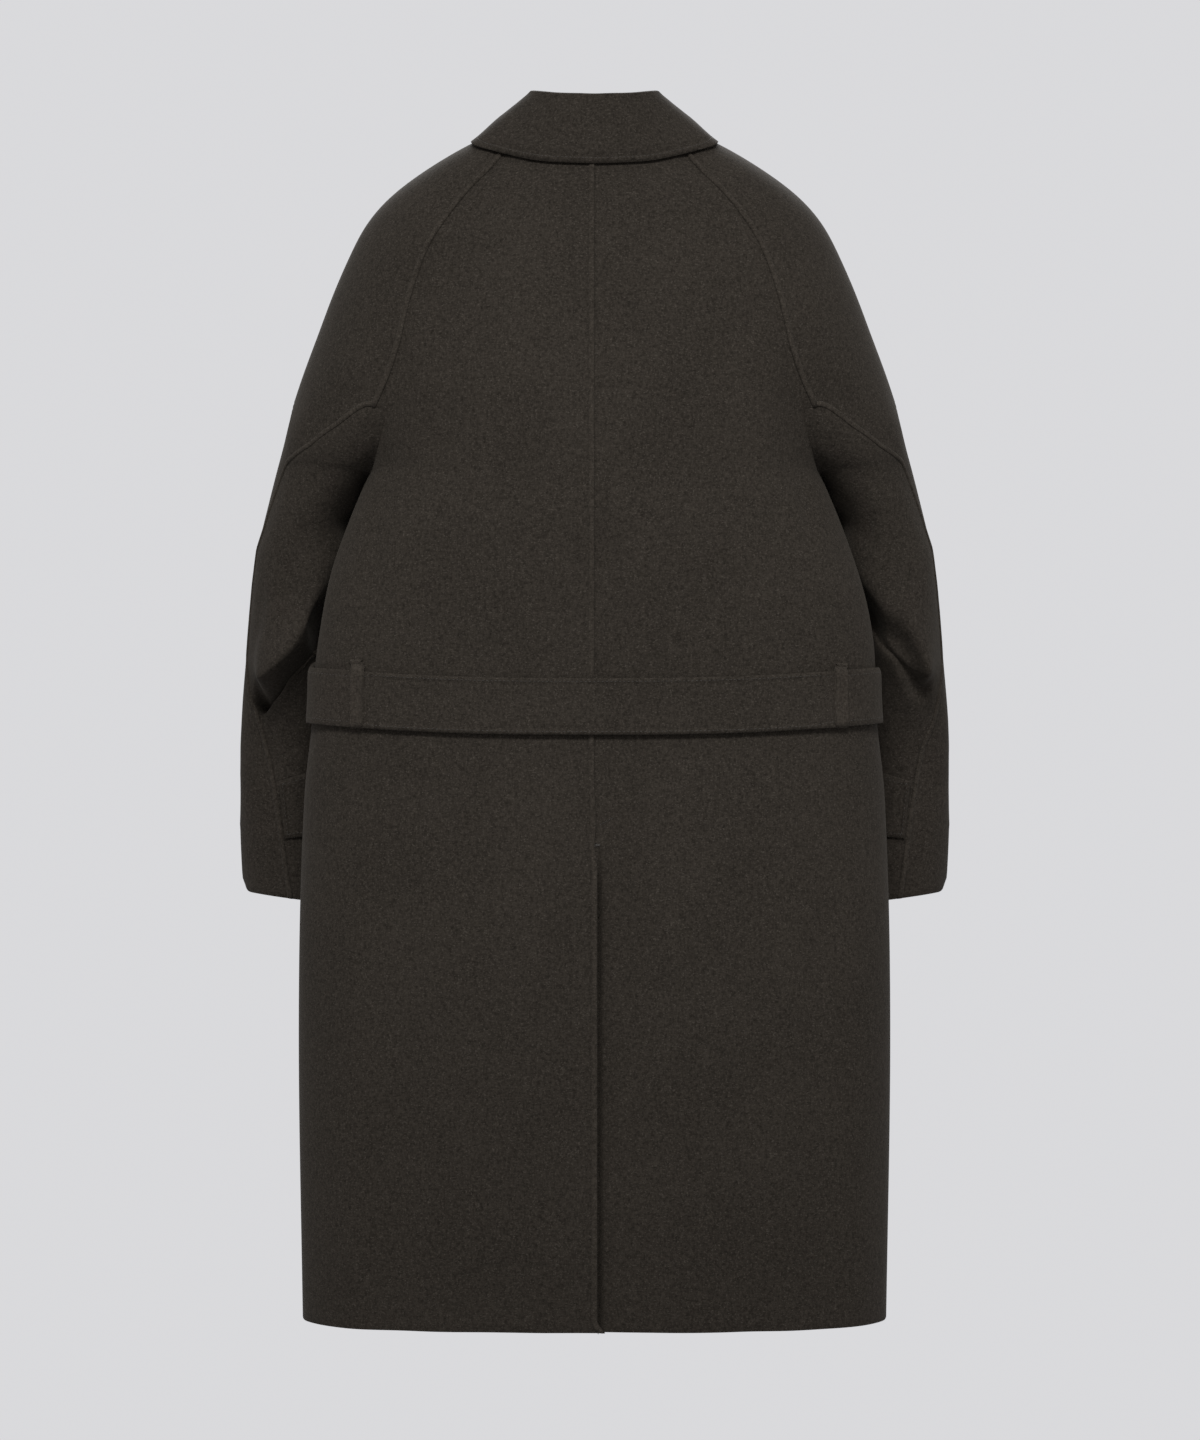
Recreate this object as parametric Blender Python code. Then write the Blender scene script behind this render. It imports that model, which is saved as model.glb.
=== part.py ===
"""Balmacaan coat: a belted wool overcoat with raglan sleeves, hollow and filled out as if worn.

Units are metres. +Z is up, the front faces -Y and the wearer's left is at +X. The origin is the
centre of the neck hole, at the height of the back neck seam.
"""

import math
from collections import namedtuple

import bmesh
import bpy
from mathutils import Vector
from mathutils.bvhtree import BVHTree

# Cloth and sewing
CLOTH = 0.0025
DOUBLE_CLOTH = 0.0040
SEAM_GAP = 0.0003
SLEEVE_SEAM_GAP = 0.0009
LAID_ON = 0.0004
SAME_POINT = 0.00005
SMOOTH_SEAM = 0.1

# Neck hole, measured at the seam that carries the collar
NECK_HALF_WIDTH = 0.070
NECK_BACK = 0.058
NECK_FRONT = 0.075
SHOULDER_NECK_RISE = 0.014
FRONT_NECK_DROP = 0.075
BACK_RAGLAN_ANGLE = 59.0
FRONT_RAGLAN_ANGLE = 118.0
NECK_SQUARE = 2.1
NECK_TURN = 48.0

# Openings and overlaps
VENT_TOP = -0.646
VENT_UNDERLAP = 0.045
VENT_STEP = 0.0038
VENT_STEP_START = 0.050
VENT_STEP_RUN = 0.030
VENT_UNDERLAP_LEAN = 0.0016
FRONT_OVERLAP = {"left": 0.030, "right": 0.020}
FRONT_FLAT = 0.038
FRONT_LAP_COLUMNS = 3
FRONT_LIFT = 0.0042
FRONT_LIFT_RUN = 0.022

# Grid steps of the faceted cloth
BACK_COLUMNS = 9
FRONT_COLUMNS = 9
TOPSLEEVE_COLUMNS = 12
UNDERSLEEVE_COLUMNS = 10

# Raglan part of the coat, a row for each section from the neck to the armpit. out is the shoulder
# line, back and front are the two raglan seams as seen from behind, wrap is how far round the arm each
# seam lies, depth is how far the sleeve bulges there, and lean moves the section's inner side back.
# centre_back and centre_front give the same section on the coat's middle line.
Raglan = namedtuple(
    "Raglan",
    "out_x out_y out_z lean back_x back_z back_wrap back_depth front_x front_z front_wrap front_depth "
    "centre_back_y centre_back_z centre_front_y centre_front_z hind_seam",
)
RAGLAN = [
    Raglan(
        .1065, -.001, -.003, .000, .091, -.034, 60, .0704,
        .088, -.045, 60, .0635, .0750, -.030, -.0900, -.098, 60,
    ),
    Raglan(
        .1415, -.004, -.022, .000, .112, -.056, 64, .0846,
        .107, -.072, 64, .0745, .0865, -.055, -.1010, -.118, 64,
    ),
    Raglan(
        .1810, -.009, -.049, .000, .136, -.087, 68, .0982,
        .126, -.104, 68, .0820, .0975, -.085, -.1100, -.140, 68,
    ),
    Raglan(
        .2080, -.014, -.077, .000, .150, -.113, 72, .1073,
        .140, -.130, 72, .0852, .1050, -.112, -.1150, -.158, 72,
    ),
    Raglan(
        .2245, -.018, -.106, .000, .159, -.137, 76, .1124,
        .150, -.153, 76, .0866, .1120, -.138, -.1200, -.175, 76,
    ),
    Raglan(
        .2410, -.022, -.143, .000, .167, -.166, 80, .1168,
        .159, -.181, 80, .0855, .1180, -.168, -.1250, -.197, 80,
    ),
    Raglan(
        .2560, -.026, -.182, .002, .175, -.203, 85, .1180,
        .166, -.213, 86, .0800, .1235, -.203, -.1285, -.223, 85,
    ),
    Raglan(
        .2710, -.029, -.222, .006, .182, -.240, 93, .1130,
        .171, -.246, 94, .0750, .1275, -.240, -.1320, -.252, 92,
    ),
    Raglan(
        .2835, -.032, -.258, .014, .192, -.276, 106, .1010,
        .177, -.279, 107, .0720, .1300, -.276, -.1350, -.282, 77,
    ),
    Raglan(
        .2905, -.034, -.281, .026, .199, -.297, 124, .0850,
        .186, -.300, 125, .0720, .1310, -.296, -.1365, -.299, 64,
    ),
    Raglan(
        .2945, -.035, -.294, .038, .204, -.308, 148, .0700,
        .197, -.310, 149, .0750, .1310, -.307, -.1368, -.309, 55,
    ),
]

# Sleeve below the armpit, a row for each ring. out and in are the ring's points away from the body and
# next to it, the depths are how far it bulges to the back and front, the seams are angles round the
# arm from the out point, and gap is the room that the sleeve keeps from the body.
Ring = namedtuple("Ring", "out_x out_y out_z in_x in_y in_z back_depth front_depth hind_seam fore_seam gap")
SLEEVE = [
    Ring(.2985, -.036, -.305, .208, .012, -.315, .057, .080, 48, 180, .0000),
    Ring(.3072, -.040, -.345, .224, -.012, -.345, .060, .078, 33, 172, .0025),
    Ring(.3150, -.046, -.387, .224, -.035, -.370, .067, .078, 20, 160, .0060),
    Ring(.3215, -.052, -.430, .222, -.052, -.392, .074, .078, 14, 150, .0100),
    Ring(.3260, -.058, -.478, .220, -.065, -.408, .081, .078, 16, 142, .0130),
    Ring(.3302, -.064, -.522, .220, -.074, -.423, .087, .076, 21, 136, .0130),
    Ring(.3308, -.068, -.539, .222, -.079, -.456, .034, .074, 44, 134, .0130),
    Ring(.3318, -.073, -.560, .226, -.086, -.500, .040, .068, 66, 131, .0130),
    Ring(.3325, -.084, -.603, .230, -.094, -.572, .048, .063, 76, 130, .0130),
    Ring(.3325, -.094, -.650, .233, -.101, -.640, .053, .060, 84, 130, .0130),
    Ring(.3308, -.103, -.695, .234, -.106, -.708, .056, .058, 92, 130, .0130),
]
FOLD_RING = 6
TAB_RINGS = (8, 9)
# A topsleeve is cut in one piece. Its wall is three solids that meet at these rows, level with the armpit
# and above the elbow, so that the collision hulls can follow the hollow of the shoulder and the bent arm.
ARMPIT_ROW = 10
ELBOW_ROW = 16
HIND_SEAM_START = 7
# The elbow fold hides the cloth that is tucked up behind its lip: how far up, and how deep, on each side.
Fold = namedtuple("Fold", "tuck_up back_depth")
ELBOW_FOLD = {"left": Fold(0.038, 0.035), "right": Fold(0.036, 0.044)}

# Body below the armpit, a row for each section. side_y is where the section is widest, and square is
# the power of its curve: 2 is an ellipse and more is squarer.
Section = namedtuple("Section", "z half_width side_y back_y front_y back_square front_square")
BODY = [
    Section(-0.315, 0.2080, 0.012, 0.1310, -0.1370, 2.50, 2.60),
    Section(-0.345, 0.2205, 0.019, 0.1318, -0.1398, 2.50, 2.50),
    Section(-0.380, 0.2335, 0.023, 0.1318, -0.1430, 2.50, 2.36),
    Section(-0.416, 0.2450, 0.025, 0.1310, -0.1460, 2.50, 2.22),
    Section(-0.464, 0.2545, 0.025, 0.1300, -0.1485, 2.50, 2.10),
    Section(-0.520, 0.2590, 0.022, 0.1305, -0.1500, 2.52, 2.02),
    Section(-0.600, 0.2645, 0.018, 0.1345, -0.1520, 2.60, 2.00),
    Section(-0.700, 0.2688, 0.014, 0.1400, -0.1550, 2.72, 2.03),
    Section(-0.850, 0.2700, 0.012, 0.1460, -0.1580, 2.90, 2.08),
    Section(-1.077, 0.2662, 0.010, 0.1500, -0.1600, 3.15, 2.15),
]
BODY_ROW_Z = [
    -0.345, -0.380, -0.416, -0.455, -0.497, -0.545, -0.595, VENT_TOP,
    -0.715, -0.785, -0.855, -0.930, -1.005, -1.077,
]

# Collar, a row for each angle round the neck from the centre back. The stand rises to the fold, and the
# leaf's edge lies on the coat at an angle of its own, so that the points spread in front.
CollarRow = namedtuple("CollarRow", "angle fold_out fold_z edge_angle edge_z")
COLLAR = [
    CollarRow(0, .0615, .0315, 0, -.0360),
    CollarRow(30, .0615, .0335, 35, -.0330),
    CollarRow(60, .0605, .0385, 64, -.0205),
    CollarRow(90, .0580, .0415, 90, -.0055),
    CollarRow(115, .0600, .0300, 111, -.0165),
    CollarRow(140, .0640, .0000, 132, -.0560),
    CollarRow(158, .0715, -.0290, 148, -.0950),
    CollarRow(170, .0770, -.0450, 156, -.1200),
]
COLLAR_STEPS = 15
COLLAR_FOLD_RADIUS = 0.0052
COLLAR_LEAF_BOW = -0.0008
COLLAR_OFF = 0.0014

# Belt, its loops and its buckle
BELT_HEIGHT = 0.051
BELT_TOP_SIDE = -0.4865
BELT_DIP_BACK = 0.011
BELT_RISE_FRONT = 0.006
BELT_OFF = 0.0016
BELT_STEPS = 52
BELT_TAIL_STEPS = 6
LOOP_X = {"left": 0.2125, "right": 0.2210}
LOOP_WIDTH = 0.0125
LOOP_THICK = 0.0028
LOOP_OFF = 0.0009
LOOP_TOP = {"left": -0.4745, "right": -0.4780}
LOOP_FLAT_END = 0.0060
LOOP_LOW_END = 0.0028
BUCKLE_WIDTH = 0.060
BUCKLE_BAR = 0.006
BUCKLE_THICK = 0.004
BUCKLE_SAG = 0.0010
BUCKLE_SLACK = 0.001

# Buttons
FRONT_BUTTON_Z = [-0.120, -0.250, -0.380, -0.640, -0.770]
FRONT_BUTTON_RADIUS = 0.0140
TAB_BUTTON_RADIUS = 0.0095
BUTTON_THICK = 0.0042
BUTTON_SIDES = 20
TAB_END_COLUMN = 7
TAB_POINT = 0.22
TAB_OFF = 0.0006

WOOL_COLOUR = (0.032, 0.027, 0.021, 1.0)
HORN_COLOUR = (0.018, 0.012, 0.008, 1.0)

SIDES = {"left": 1, "right": -1}


# Small helpers

def across(row_a, row_b, t):
    """Point between two points."""
    return row_a.lerp(row_b, t)


def ease(t):
    """0 to 1 with flat ends."""
    t = min(1.0, max(0.0, t))
    return t * t * (3 - 2 * t)


def power(value, exponent):
    return math.copysign(abs(value) ** exponent, value)


def table_at(table, key, value):
    """A row of the table at this value of its key column, on a smooth curve through the rows."""
    keys = [getattr(row, key) for row in table]
    rising = keys[-1] > keys[0]
    last = len(keys) - 2
    i = next((n for n in range(last) if (value < keys[n + 1]) == rising), last)
    h = keys[i + 1] - keys[i]
    t = min(1.0, max(0.0, (value - keys[i]) / h))

    def slope(column, n):
        lo, hi = max(n - 1, 0), min(n + 1, len(table) - 1)
        return (table[hi][column] - table[lo][column]) / (keys[hi] - keys[lo])

    found = []
    for column in range(len(table[0])):
        a, b = table[i][column], table[i + 1][column]
        ma, mb = slope(column, i) * h, slope(column, i + 1) * h
        found.append(
            a * (2 * t**3 - 3 * t**2 + 1) + ma * (t**3 - 2 * t**2 + t)
            + b * (3 * t**2 - 2 * t**3) + mb * (t**3 - t**2)
        )
    return type(table[0])(*found)


def neckline(angle):
    """Point of the neck seam at an angle from the centre back towards the wearer's left."""
    a = math.radians(angle)
    deep = NECK_BACK if math.cos(a) > 0 else NECK_FRONT
    if math.cos(a) > 0:
        z = SHOULDER_NECK_RISE * math.sin(a) ** 2
    else:
        z = SHOULDER_NECK_RISE - (SHOULDER_NECK_RISE + FRONT_NECK_DROP) * math.cos(a) ** 2
    return Vector((NECK_HALF_WIDTH * math.sin(a), deep * math.cos(a), z))


# Body surface

def body_point(section, turn):
    """Point of a body section, turn in degrees from the centre back to the centre front."""
    a = math.radians(turn)
    if turn <= 90:
        deep, square = section.back_y - section.side_y, section.back_square
    else:
        deep, square = section.side_y - section.front_y, section.front_square
    x = section.half_width * power(math.sin(a), 2 / square)
    y = section.side_y + deep * power(math.cos(a), 2 / square)
    return Vector((x, y, section.z))


def body_half_width(y, z):
    """Half width of the body at this depth and height."""
    section = table_at(BODY, "z", min(z, BODY[0].z))
    if y > section.side_y:
        share, square = (y - section.side_y) / (section.back_y - section.side_y), section.back_square
    else:
        share, square = (section.side_y - y) / (section.side_y - section.front_y), section.front_square
    return section.half_width * max(0.0, 1 - abs(share) ** square) ** (1 / square)


def upper_row(centre, end, shares, square):
    """Row of an upper panel from the centre line to the raglan seam, at these shares of its width.

    The row is the part of a whole body section that ends where the seam cuts it off."""
    side_y = BODY[0].side_y
    reach = (end.y - side_y) / (centre.y - side_y)
    half_width = end.x / (1 - reach ** square) ** (1 / square)
    row = []
    for share in shares:
        deep = (1 - (abs(share) * end.x / half_width) ** square) ** (1 / square)
        z = centre.z + (end.z - centre.z) * share * share
        row.append(Vector((end.x * share, side_y + (centre.y - side_y) * deep, z)))
    return row


def upper_square(index, square):
    """Squareness of an upper row, from rounder at the neck to that of the armpit's section."""
    return NECK_SQUARE + (square - NECK_SQUARE) * ease((index + 1) / len(RAGLAN))


def upper_turn(index):
    """How far an upper row has turned to the side where it meets the raglan seam."""
    return NECK_TURN + (90 - NECK_TURN) * ease((index + 1) / len(RAGLAN))


def row_shares(columns, square, turn_end):
    """Shares of a row's width at even steps of turn."""
    last = math.radians(turn_end)
    full = math.sin(last) ** (2 / square)
    return [math.sin(last * j / columns) ** (2 / square) / full for j in range(columns + 1)]


def front_shares(columns, half_width, square, turn_end, overlap):
    """Shares of a front row's width: the overlap in even steps, then even steps of turn to the side."""
    near = FRONT_FLAT / half_width
    first = -overlap / half_width
    even = row_shares(columns, square, turn_end)
    rest = [s for s in even if s > near * 1.4]
    lap = columns + 1 - len(rest)
    while lap < FRONT_LAP_COLUMNS:
        rest = rest[1:]
        lap += 1
    while lap > FRONT_LAP_COLUMNS:
        rest = [(near + rest[0]) / 2] + rest
        lap -= 1
    return [first + (near - first) * j / (lap - 1) for j in range(lap)] + rest


def back_rows():
    """Rows of the left back panel, from the neck to the hem."""
    rows = [[neckline(BACK_RAGLAN_ANGLE * j / BACK_COLUMNS) for j in range(BACK_COLUMNS + 1)]]
    for i, r in enumerate(RAGLAN):
        centre = Vector((0, r.centre_back_y, r.centre_back_z))
        end = raglan_point(r, r.back_wrap)
        square = upper_square(i, BODY[0].back_square)
        shares = row_shares(BACK_COLUMNS, square, upper_turn(i))
        rows.append(upper_row(centre, end, shares, square))
    for z in [BODY[0].z] + BODY_ROW_Z:
        section = table_at(BODY, "z", z)
        rows.append([body_point(section, 90 * j / BACK_COLUMNS) for j in range(BACK_COLUMNS + 1)])
    return rows


def front_rows(overlap):
    """Rows of the left front panel, from the neck to the hem, past the centre line by the overlap."""
    steps = FRONT_COLUMNS
    first = 180 + math.degrees(math.asin(overlap / NECK_HALF_WIDTH))
    rows = [[neckline(first + (FRONT_RAGLAN_ANGLE - first) * j / steps) for j in range(steps + 1)]]
    for i, r in enumerate(RAGLAN):
        centre = Vector((0, r.centre_front_y, r.centre_front_z))
        end = raglan_point(r, -r.front_wrap)
        square = upper_square(i, BODY[0].front_square)
        shares = front_shares(steps, end.x, square, upper_turn(i), overlap)
        rows.append(upper_row(centre, end, shares, square))
    for z in [BODY[0].z] + BODY_ROW_Z:
        section = table_at(BODY, "z", z)
        row = []
        for share in front_shares(steps, section.half_width, section.front_square, 90, overlap):
            turn = math.degrees(math.asin(min(1.0, abs(share)) ** (section.front_square / 2)))
            p = body_point(section, 180 - turn)
            row.append(Vector((math.copysign(p.x, share), p.y, p.z)))
        rows.append(row)
    return rows


# Sleeve surface

def raglan_point(r, wrap):
    """Point of a raglan section, wrap in degrees from the shoulder line, to the back if positive."""
    side = "back" if wrap >= 0 else "front"
    limit = math.radians(getattr(r, side + "_wrap"))
    a = math.radians(abs(wrap))
    inward = (1 - math.cos(a)) / (1 - math.cos(limit))
    x = r.out_x + (getattr(r, side + "_x") - r.out_x) * inward
    z = r.out_z + (getattr(r, side + "_z") - r.out_z) * inward
    deep = math.copysign(getattr(r, side + "_depth"), wrap)
    y = r.out_y + r.lean * (1 - math.cos(a)) / 2 + deep * math.sin(a)
    return Vector((x, y, z))


def ring_point(ring, wrap, fold=None):
    """Point of a sleeve ring, wrap in degrees from its out point, to the back if positive."""
    a = math.radians(wrap)
    out, inner = Vector(ring[0:3]), Vector(ring[3:6])
    point = (out + inner) / 2 + (out - inner) / 2 * math.cos(a)
    deep = ring.back_depth if math.sin(a) > 0 else ring.front_depth
    if fold:
        deep = fold.back_depth if math.sin(a) > 0 else deep
        point.z += fold.tuck_up * max(0.0, math.sin(a))
    point.y += deep * math.sin(a)
    if ring.gap:
        point.x = max(point.x, body_half_width(point.y, point.z) + ring.gap)
    return point


def sleeve_fold(index, side):
    return ELBOW_FOLD[side] if index == FOLD_RING else None


def topsleeve_rows(side):
    """Rows of a topsleeve, from the neck to the cuff, each from the hind seam over to the fore seam."""
    steps = TOPSLEEVE_COLUMNS
    first, last = BACK_RAGLAN_ANGLE, FRONT_RAGLAN_ANGLE
    rows = [[neckline(first + (last - first) * j / steps) for j in range(steps + 1)]]
    for i, r in enumerate(RAGLAN):
        high = r.back_wrap if i < HIND_SEAM_START else r.hind_seam
        rows.append([raglan_point(r, high - (high + r.front_wrap) * j / steps) for j in range(steps + 1)])
    for i, ring in enumerate(SLEEVE):
        fold = sleeve_fold(i, side)
        span = ring.hind_seam + ring.fore_seam
        rows.append([ring_point(ring, ring.hind_seam - span * j / steps, fold) for j in range(steps + 1)])
    return rows


def undersleeve_rows(side):
    """Rows of an undersleeve, from its tip on the raglan seam to the cuff, from the hind to the fore seam."""
    steps = UNDERSLEEVE_COLUMNS
    rows = []
    for r in RAGLAN[HIND_SEAM_START:]:
        span = r.back_wrap - r.hind_seam
        rows.append([raglan_point(r, r.hind_seam + span * j / steps) for j in range(steps + 1)])
    for i, ring in enumerate(SLEEVE):
        fold = sleeve_fold(i, side)
        span = 360 - ring.fore_seam - ring.hind_seam
        rows.append([ring_point(ring, ring.hind_seam + span * j / steps, fold) for j in range(steps + 1)])
    return rows


# Overlaps at the vent and the front

def lift_front(rows):
    """The left front's rows, raised where they lie over the right front."""
    for row in rows:
        for p in row:
            lift = FRONT_LIFT * (1 - ease((p.x - FRONT_FLAT) / FRONT_LIFT_RUN))
            out = Vector((p.x, p.y, 0)).normalized()
            p += out * lift
    return rows


def sink_vent(rows):
    """The right back's rows, still drawn on the left, with the vent's underlap added and sunk."""
    found = []
    for row in rows:
        depth = ease((VENT_TOP + VENT_STEP_START - row[0].z) / VENT_STEP_START)
        for p in row:
            p.y -= VENT_STEP * depth * (1 - ease(p.x / VENT_STEP_RUN))
        lap = [None, None]
        if row[0].z <= VENT_TOP:
            reach = Vector((-VENT_UNDERLAP, -VENT_UNDERLAP_LEAN, 0))
            lap = [row[0] + reach, row[0] + reach / 2]
        found.append(lap + row)
    return found


# Walls from rows of points

def mirrored(rows):
    return [[Vector((-p.x, p.y, p.z)) if p else None for p in row] for row in rows]


def sheet_of(rows):
    """Open bmesh of a grid of points. A cell with a missing corner is left out."""
    bm = bmesh.new()
    grid = [[bm.verts.new(p) if p else None for p in row] for row in rows]
    for upper, lower in zip(grid, grid[1:]):
        for j in range(len(upper) - 1):
            corners = (upper[j], lower[j], lower[j + 1], upper[j + 1])
            if all(corners):
                bm.faces.new(corners)
    bm.normal_update()
    return bm


def face_out(bm, inside):
    """Turns a sheet's faces away from the inside points that are nearest in height."""
    def away(face):
        centre = face.calc_center_median()
        nearest = min(inside, key=lambda p: abs(p.z - centre.z))
        return face.normal.dot(centre - nearest) * face.calc_area()

    if sum(away(face) for face in bm.faces) < 0:
        bmesh.ops.reverse_faces(bm, faces=bm.faces)
        bm.normal_update()


def seam_key(point):
    return tuple(round(c / SAME_POINT) for c in point)


def note_seams(bm, seams):
    """Adds the sheet's normals at its edges to those of the sheets that it is sewn to."""
    for v in bm.verts:
        if v.is_boundary:
            seams.setdefault(seam_key(v.co), []).append(v.normal.copy())


def seam_normal(v, seams):
    """Normal at a vertex, shared with the next panel where the two run on smoothly."""
    shared = [n for n in seams.get(seam_key(v.co), []) if n.dot(v.normal) > SMOOTH_SEAM]
    return sum(shared, v.normal.copy()).normalized()


def trimmed(v, gap):
    """Where a vertex on the sheet's edge goes when half the seam gap is trimmed off."""
    inward = []
    for e in v.link_edges:
        if e.is_boundary:
            along = (e.verts[1].co - e.verts[0].co).normalized()
            to_face = e.link_faces[0].calc_center_median() - e.verts[0].co
            inward.append((to_face - along * to_face.dot(along)).normalized())
    a, b = inward[:2]
    return v.co + (a + b) / (1 + max(a.dot(b), -0.5)) * gap / 2


def wall_from(bm, thickness, seams, gap=SEAM_GAP):
    """Gives a sheet its thickness, inwards from its outer face, and closes its edges."""
    normals = {v: seam_normal(v, seams) for v in bm.verts}
    places = {v: trimmed(v, gap) if v.is_boundary else v.co.copy() for v in bm.verts}
    edges = [e for e in bm.edges if e.is_boundary]
    outer_faces = list(bm.faces)
    inner = {}
    for v, place in places.items():
        v.co = place
        inner[v] = place - normals[v] * thickness
    made = {v: bm.verts.new(place) for v, place in inner.items()}
    for face in outer_faces:
        bm.faces.new([made[v] for v in reversed(face.verts)])
    for e in edges:
        a, b = e.verts
        bm.faces.new((a, b, made[b], made[a]))
    bmesh.ops.recalc_face_normals(bm, faces=bm.faces)


def add_object(name, bm, material):
    mesh = bpy.data.meshes.new(name)
    bm.to_mesh(mesh)
    bm.free()
    mesh.shade_smooth()
    mesh.set_sharp_from_angle(angle=math.radians(40))
    mesh.materials.append(material)
    obj = bpy.data.objects.new(name, mesh)
    bpy.context.scene.collection.objects.link(obj)
    return obj


def tree_of(sheets):
    """Search tree of several sheets' outer faces."""
    points, faces = [], []
    for bm in sheets:
        bm.verts.index_update()
        base = len(points)
        points += [v.co.copy() for v in bm.verts]
        faces += [[base + v.index for v in f.verts] for f in bm.faces]
    return BVHTree.FromPolygons(points, faces, all_triangles=False)


# Panels

def make_panels():
    """Outer sheets of the body and the sleeves, by name."""
    axis = [Vector((0, 0, z)) for z in (0, -0.1, -0.2, -0.3)] + [Vector((0, 0, z)) for z in BODY_ROW_Z]
    sheets = {}
    for side, sign in SIDES.items():
        back, front = back_rows(), front_rows(FRONT_OVERLAP[side])
        if side == "right":
            back = sink_vent(back)
        else:
            front = lift_front(front)
        arm = [Vector((0.09, 0, -0.06)), Vector((0.15, 0, -0.12)), Vector((0.20, 0, -0.2))]
        arm += [(Vector(ring[0:3]) + Vector(ring[3:6])) / 2 for ring in SLEEVE]
        topsleeve = topsleeve_rows(side)
        pieces = {
            "back": (back, axis),
            "front": (front, axis),
            "topsleeve_upper": (topsleeve[:ARMPIT_ROW + 1], arm),
            "topsleeve_middle": (topsleeve[ARMPIT_ROW:ELBOW_ROW + 1], arm),
            "topsleeve_lower": (topsleeve[ELBOW_ROW:], arm),
            "undersleeve": (undersleeve_rows(side), arm),
        }
        for name, (rows, inside) in pieces.items():
            if sign < 0:
                rows = mirrored(rows)
                inside = [Vector((-p.x, p.y, p.z)) for p in inside]
            bm = sheet_of(rows)
            face_out(bm, inside)
            sheets[f"{name}_{side}"] = bm
    return sheets


# Collar

def collar_section(row, tree, sign):
    """Points across the collar at one angle: up the stand, round the fold and down the leaf."""
    a, b = math.radians(row.angle), math.radians(row.edge_angle)
    radial = Vector((sign * math.sin(a), math.cos(a), 0))
    seam = neckline(row.angle)
    seam.x *= sign
    seam.z += CLOTH * 0.5
    fold = radial * row.fold_out + Vector((0, 0, row.fold_z - COLLAR_FOLD_RADIUS))
    towards = Vector((sign * math.sin(b), math.cos(b), 0))
    hit, normal, _, _ = tree.ray_cast(towards * 0.4 + Vector((0, 0, row.edge_z)), -towards)
    edge = hit + normal * (COLLAR_OFF + DOUBLE_CLOTH)
    round_fold = []
    for turn in (180, 130, 90, 50, 10):
        t = math.radians(turn)
        round_fold.append(fold + (radial * math.cos(t) + Vector((0, 0, math.sin(t)))) * COLLAR_FOLD_RADIUS)
    leaf = []
    for share in (0.35, 0.7, 1.0):
        point = across(round_fold[-1], edge, share)
        bow = COLLAR_LEAF_BOW * 4 * share * (1 - share)
        leaf.append(point + Vector((radial.x, radial.y, 1)).normalized() * bow)
    return [seam, across(seam, round_fold[0], 0.5)] + round_fold + leaf


def make_collar(tree, seams):
    last = COLLAR[-1].angle
    rows = []
    for n in range(-COLLAR_STEPS, COLLAR_STEPS + 1):
        row = table_at(COLLAR, "angle", last * abs(n) / COLLAR_STEPS)
        rows.append(collar_section(row, tree, 1 if n >= 0 else -1))
    bm = sheet_of(rows)
    leaf_face = max(bm.faces, key=lambda f: f.calc_center_median().y)
    if leaf_face.normal.y < 0:
        bmesh.ops.reverse_faces(bm, faces=bm.faces)
        bm.normal_update()
    wall_from(bm, DOUBLE_CLOTH, seams)
    return bm


# Belt, loops and buckle

def belt_top(angle):
    """Height of the belt's upper edge at an angle from the centre back."""
    c = math.cos(math.radians(angle))
    return BELT_TOP_SIDE - (BELT_DIP_BACK if c > 0 else -BELT_RISE_FRONT) * c * c


def belt_place(turn, z, off):
    """Point off the body at this turn from the centre back, to the left if positive, and this height."""
    section = table_at(BODY, "z", z)

    def at(t):
        t = (t + 180) % 360 - 180
        p = body_point(section, abs(t))
        return Vector((math.copysign(p.x, t), p.y, p.z))

    here = at(turn)
    along = at(turn + 1) - at(turn - 1)
    out = Vector((-along.y, along.x, 0)).normalized()
    lap = 0.0
    if here.y < section.side_y:
        lap = FRONT_LIFT * (1 - ease((abs(here.x) - FRONT_FLAT) / FRONT_LIFT_RUN))
    return here + out * (off + lap)


def belt_rows():
    """Rows of the belt's outer face from its buckle end, round the back, to the tail over the buckle end."""
    step = 360 / BELT_STEPS
    rows = []
    for n in range(BELT_STEPS + BELT_TAIL_STEPS + 1):
        turn = -180 + n * step
        over = (DOUBLE_CLOTH + 2 * LAID_ON) * ease((n - BELT_STEPS + 3) / 3)
        off = BELT_OFF + DOUBLE_CLOTH + over
        top = belt_top(turn)
        rows.append([belt_place(turn, top - BELT_HEIGHT * s / 2, off) for s in range(3)])
    return rows


def make_belt(seams):
    rows = belt_rows()
    bm = sheet_of(rows)
    face_out(bm, [Vector((0, 0, BELT_TOP_SIDE - BELT_HEIGHT / 2))])
    wall_from(bm, DOUBLE_CLOTH, seams)
    return bm, rows


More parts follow.
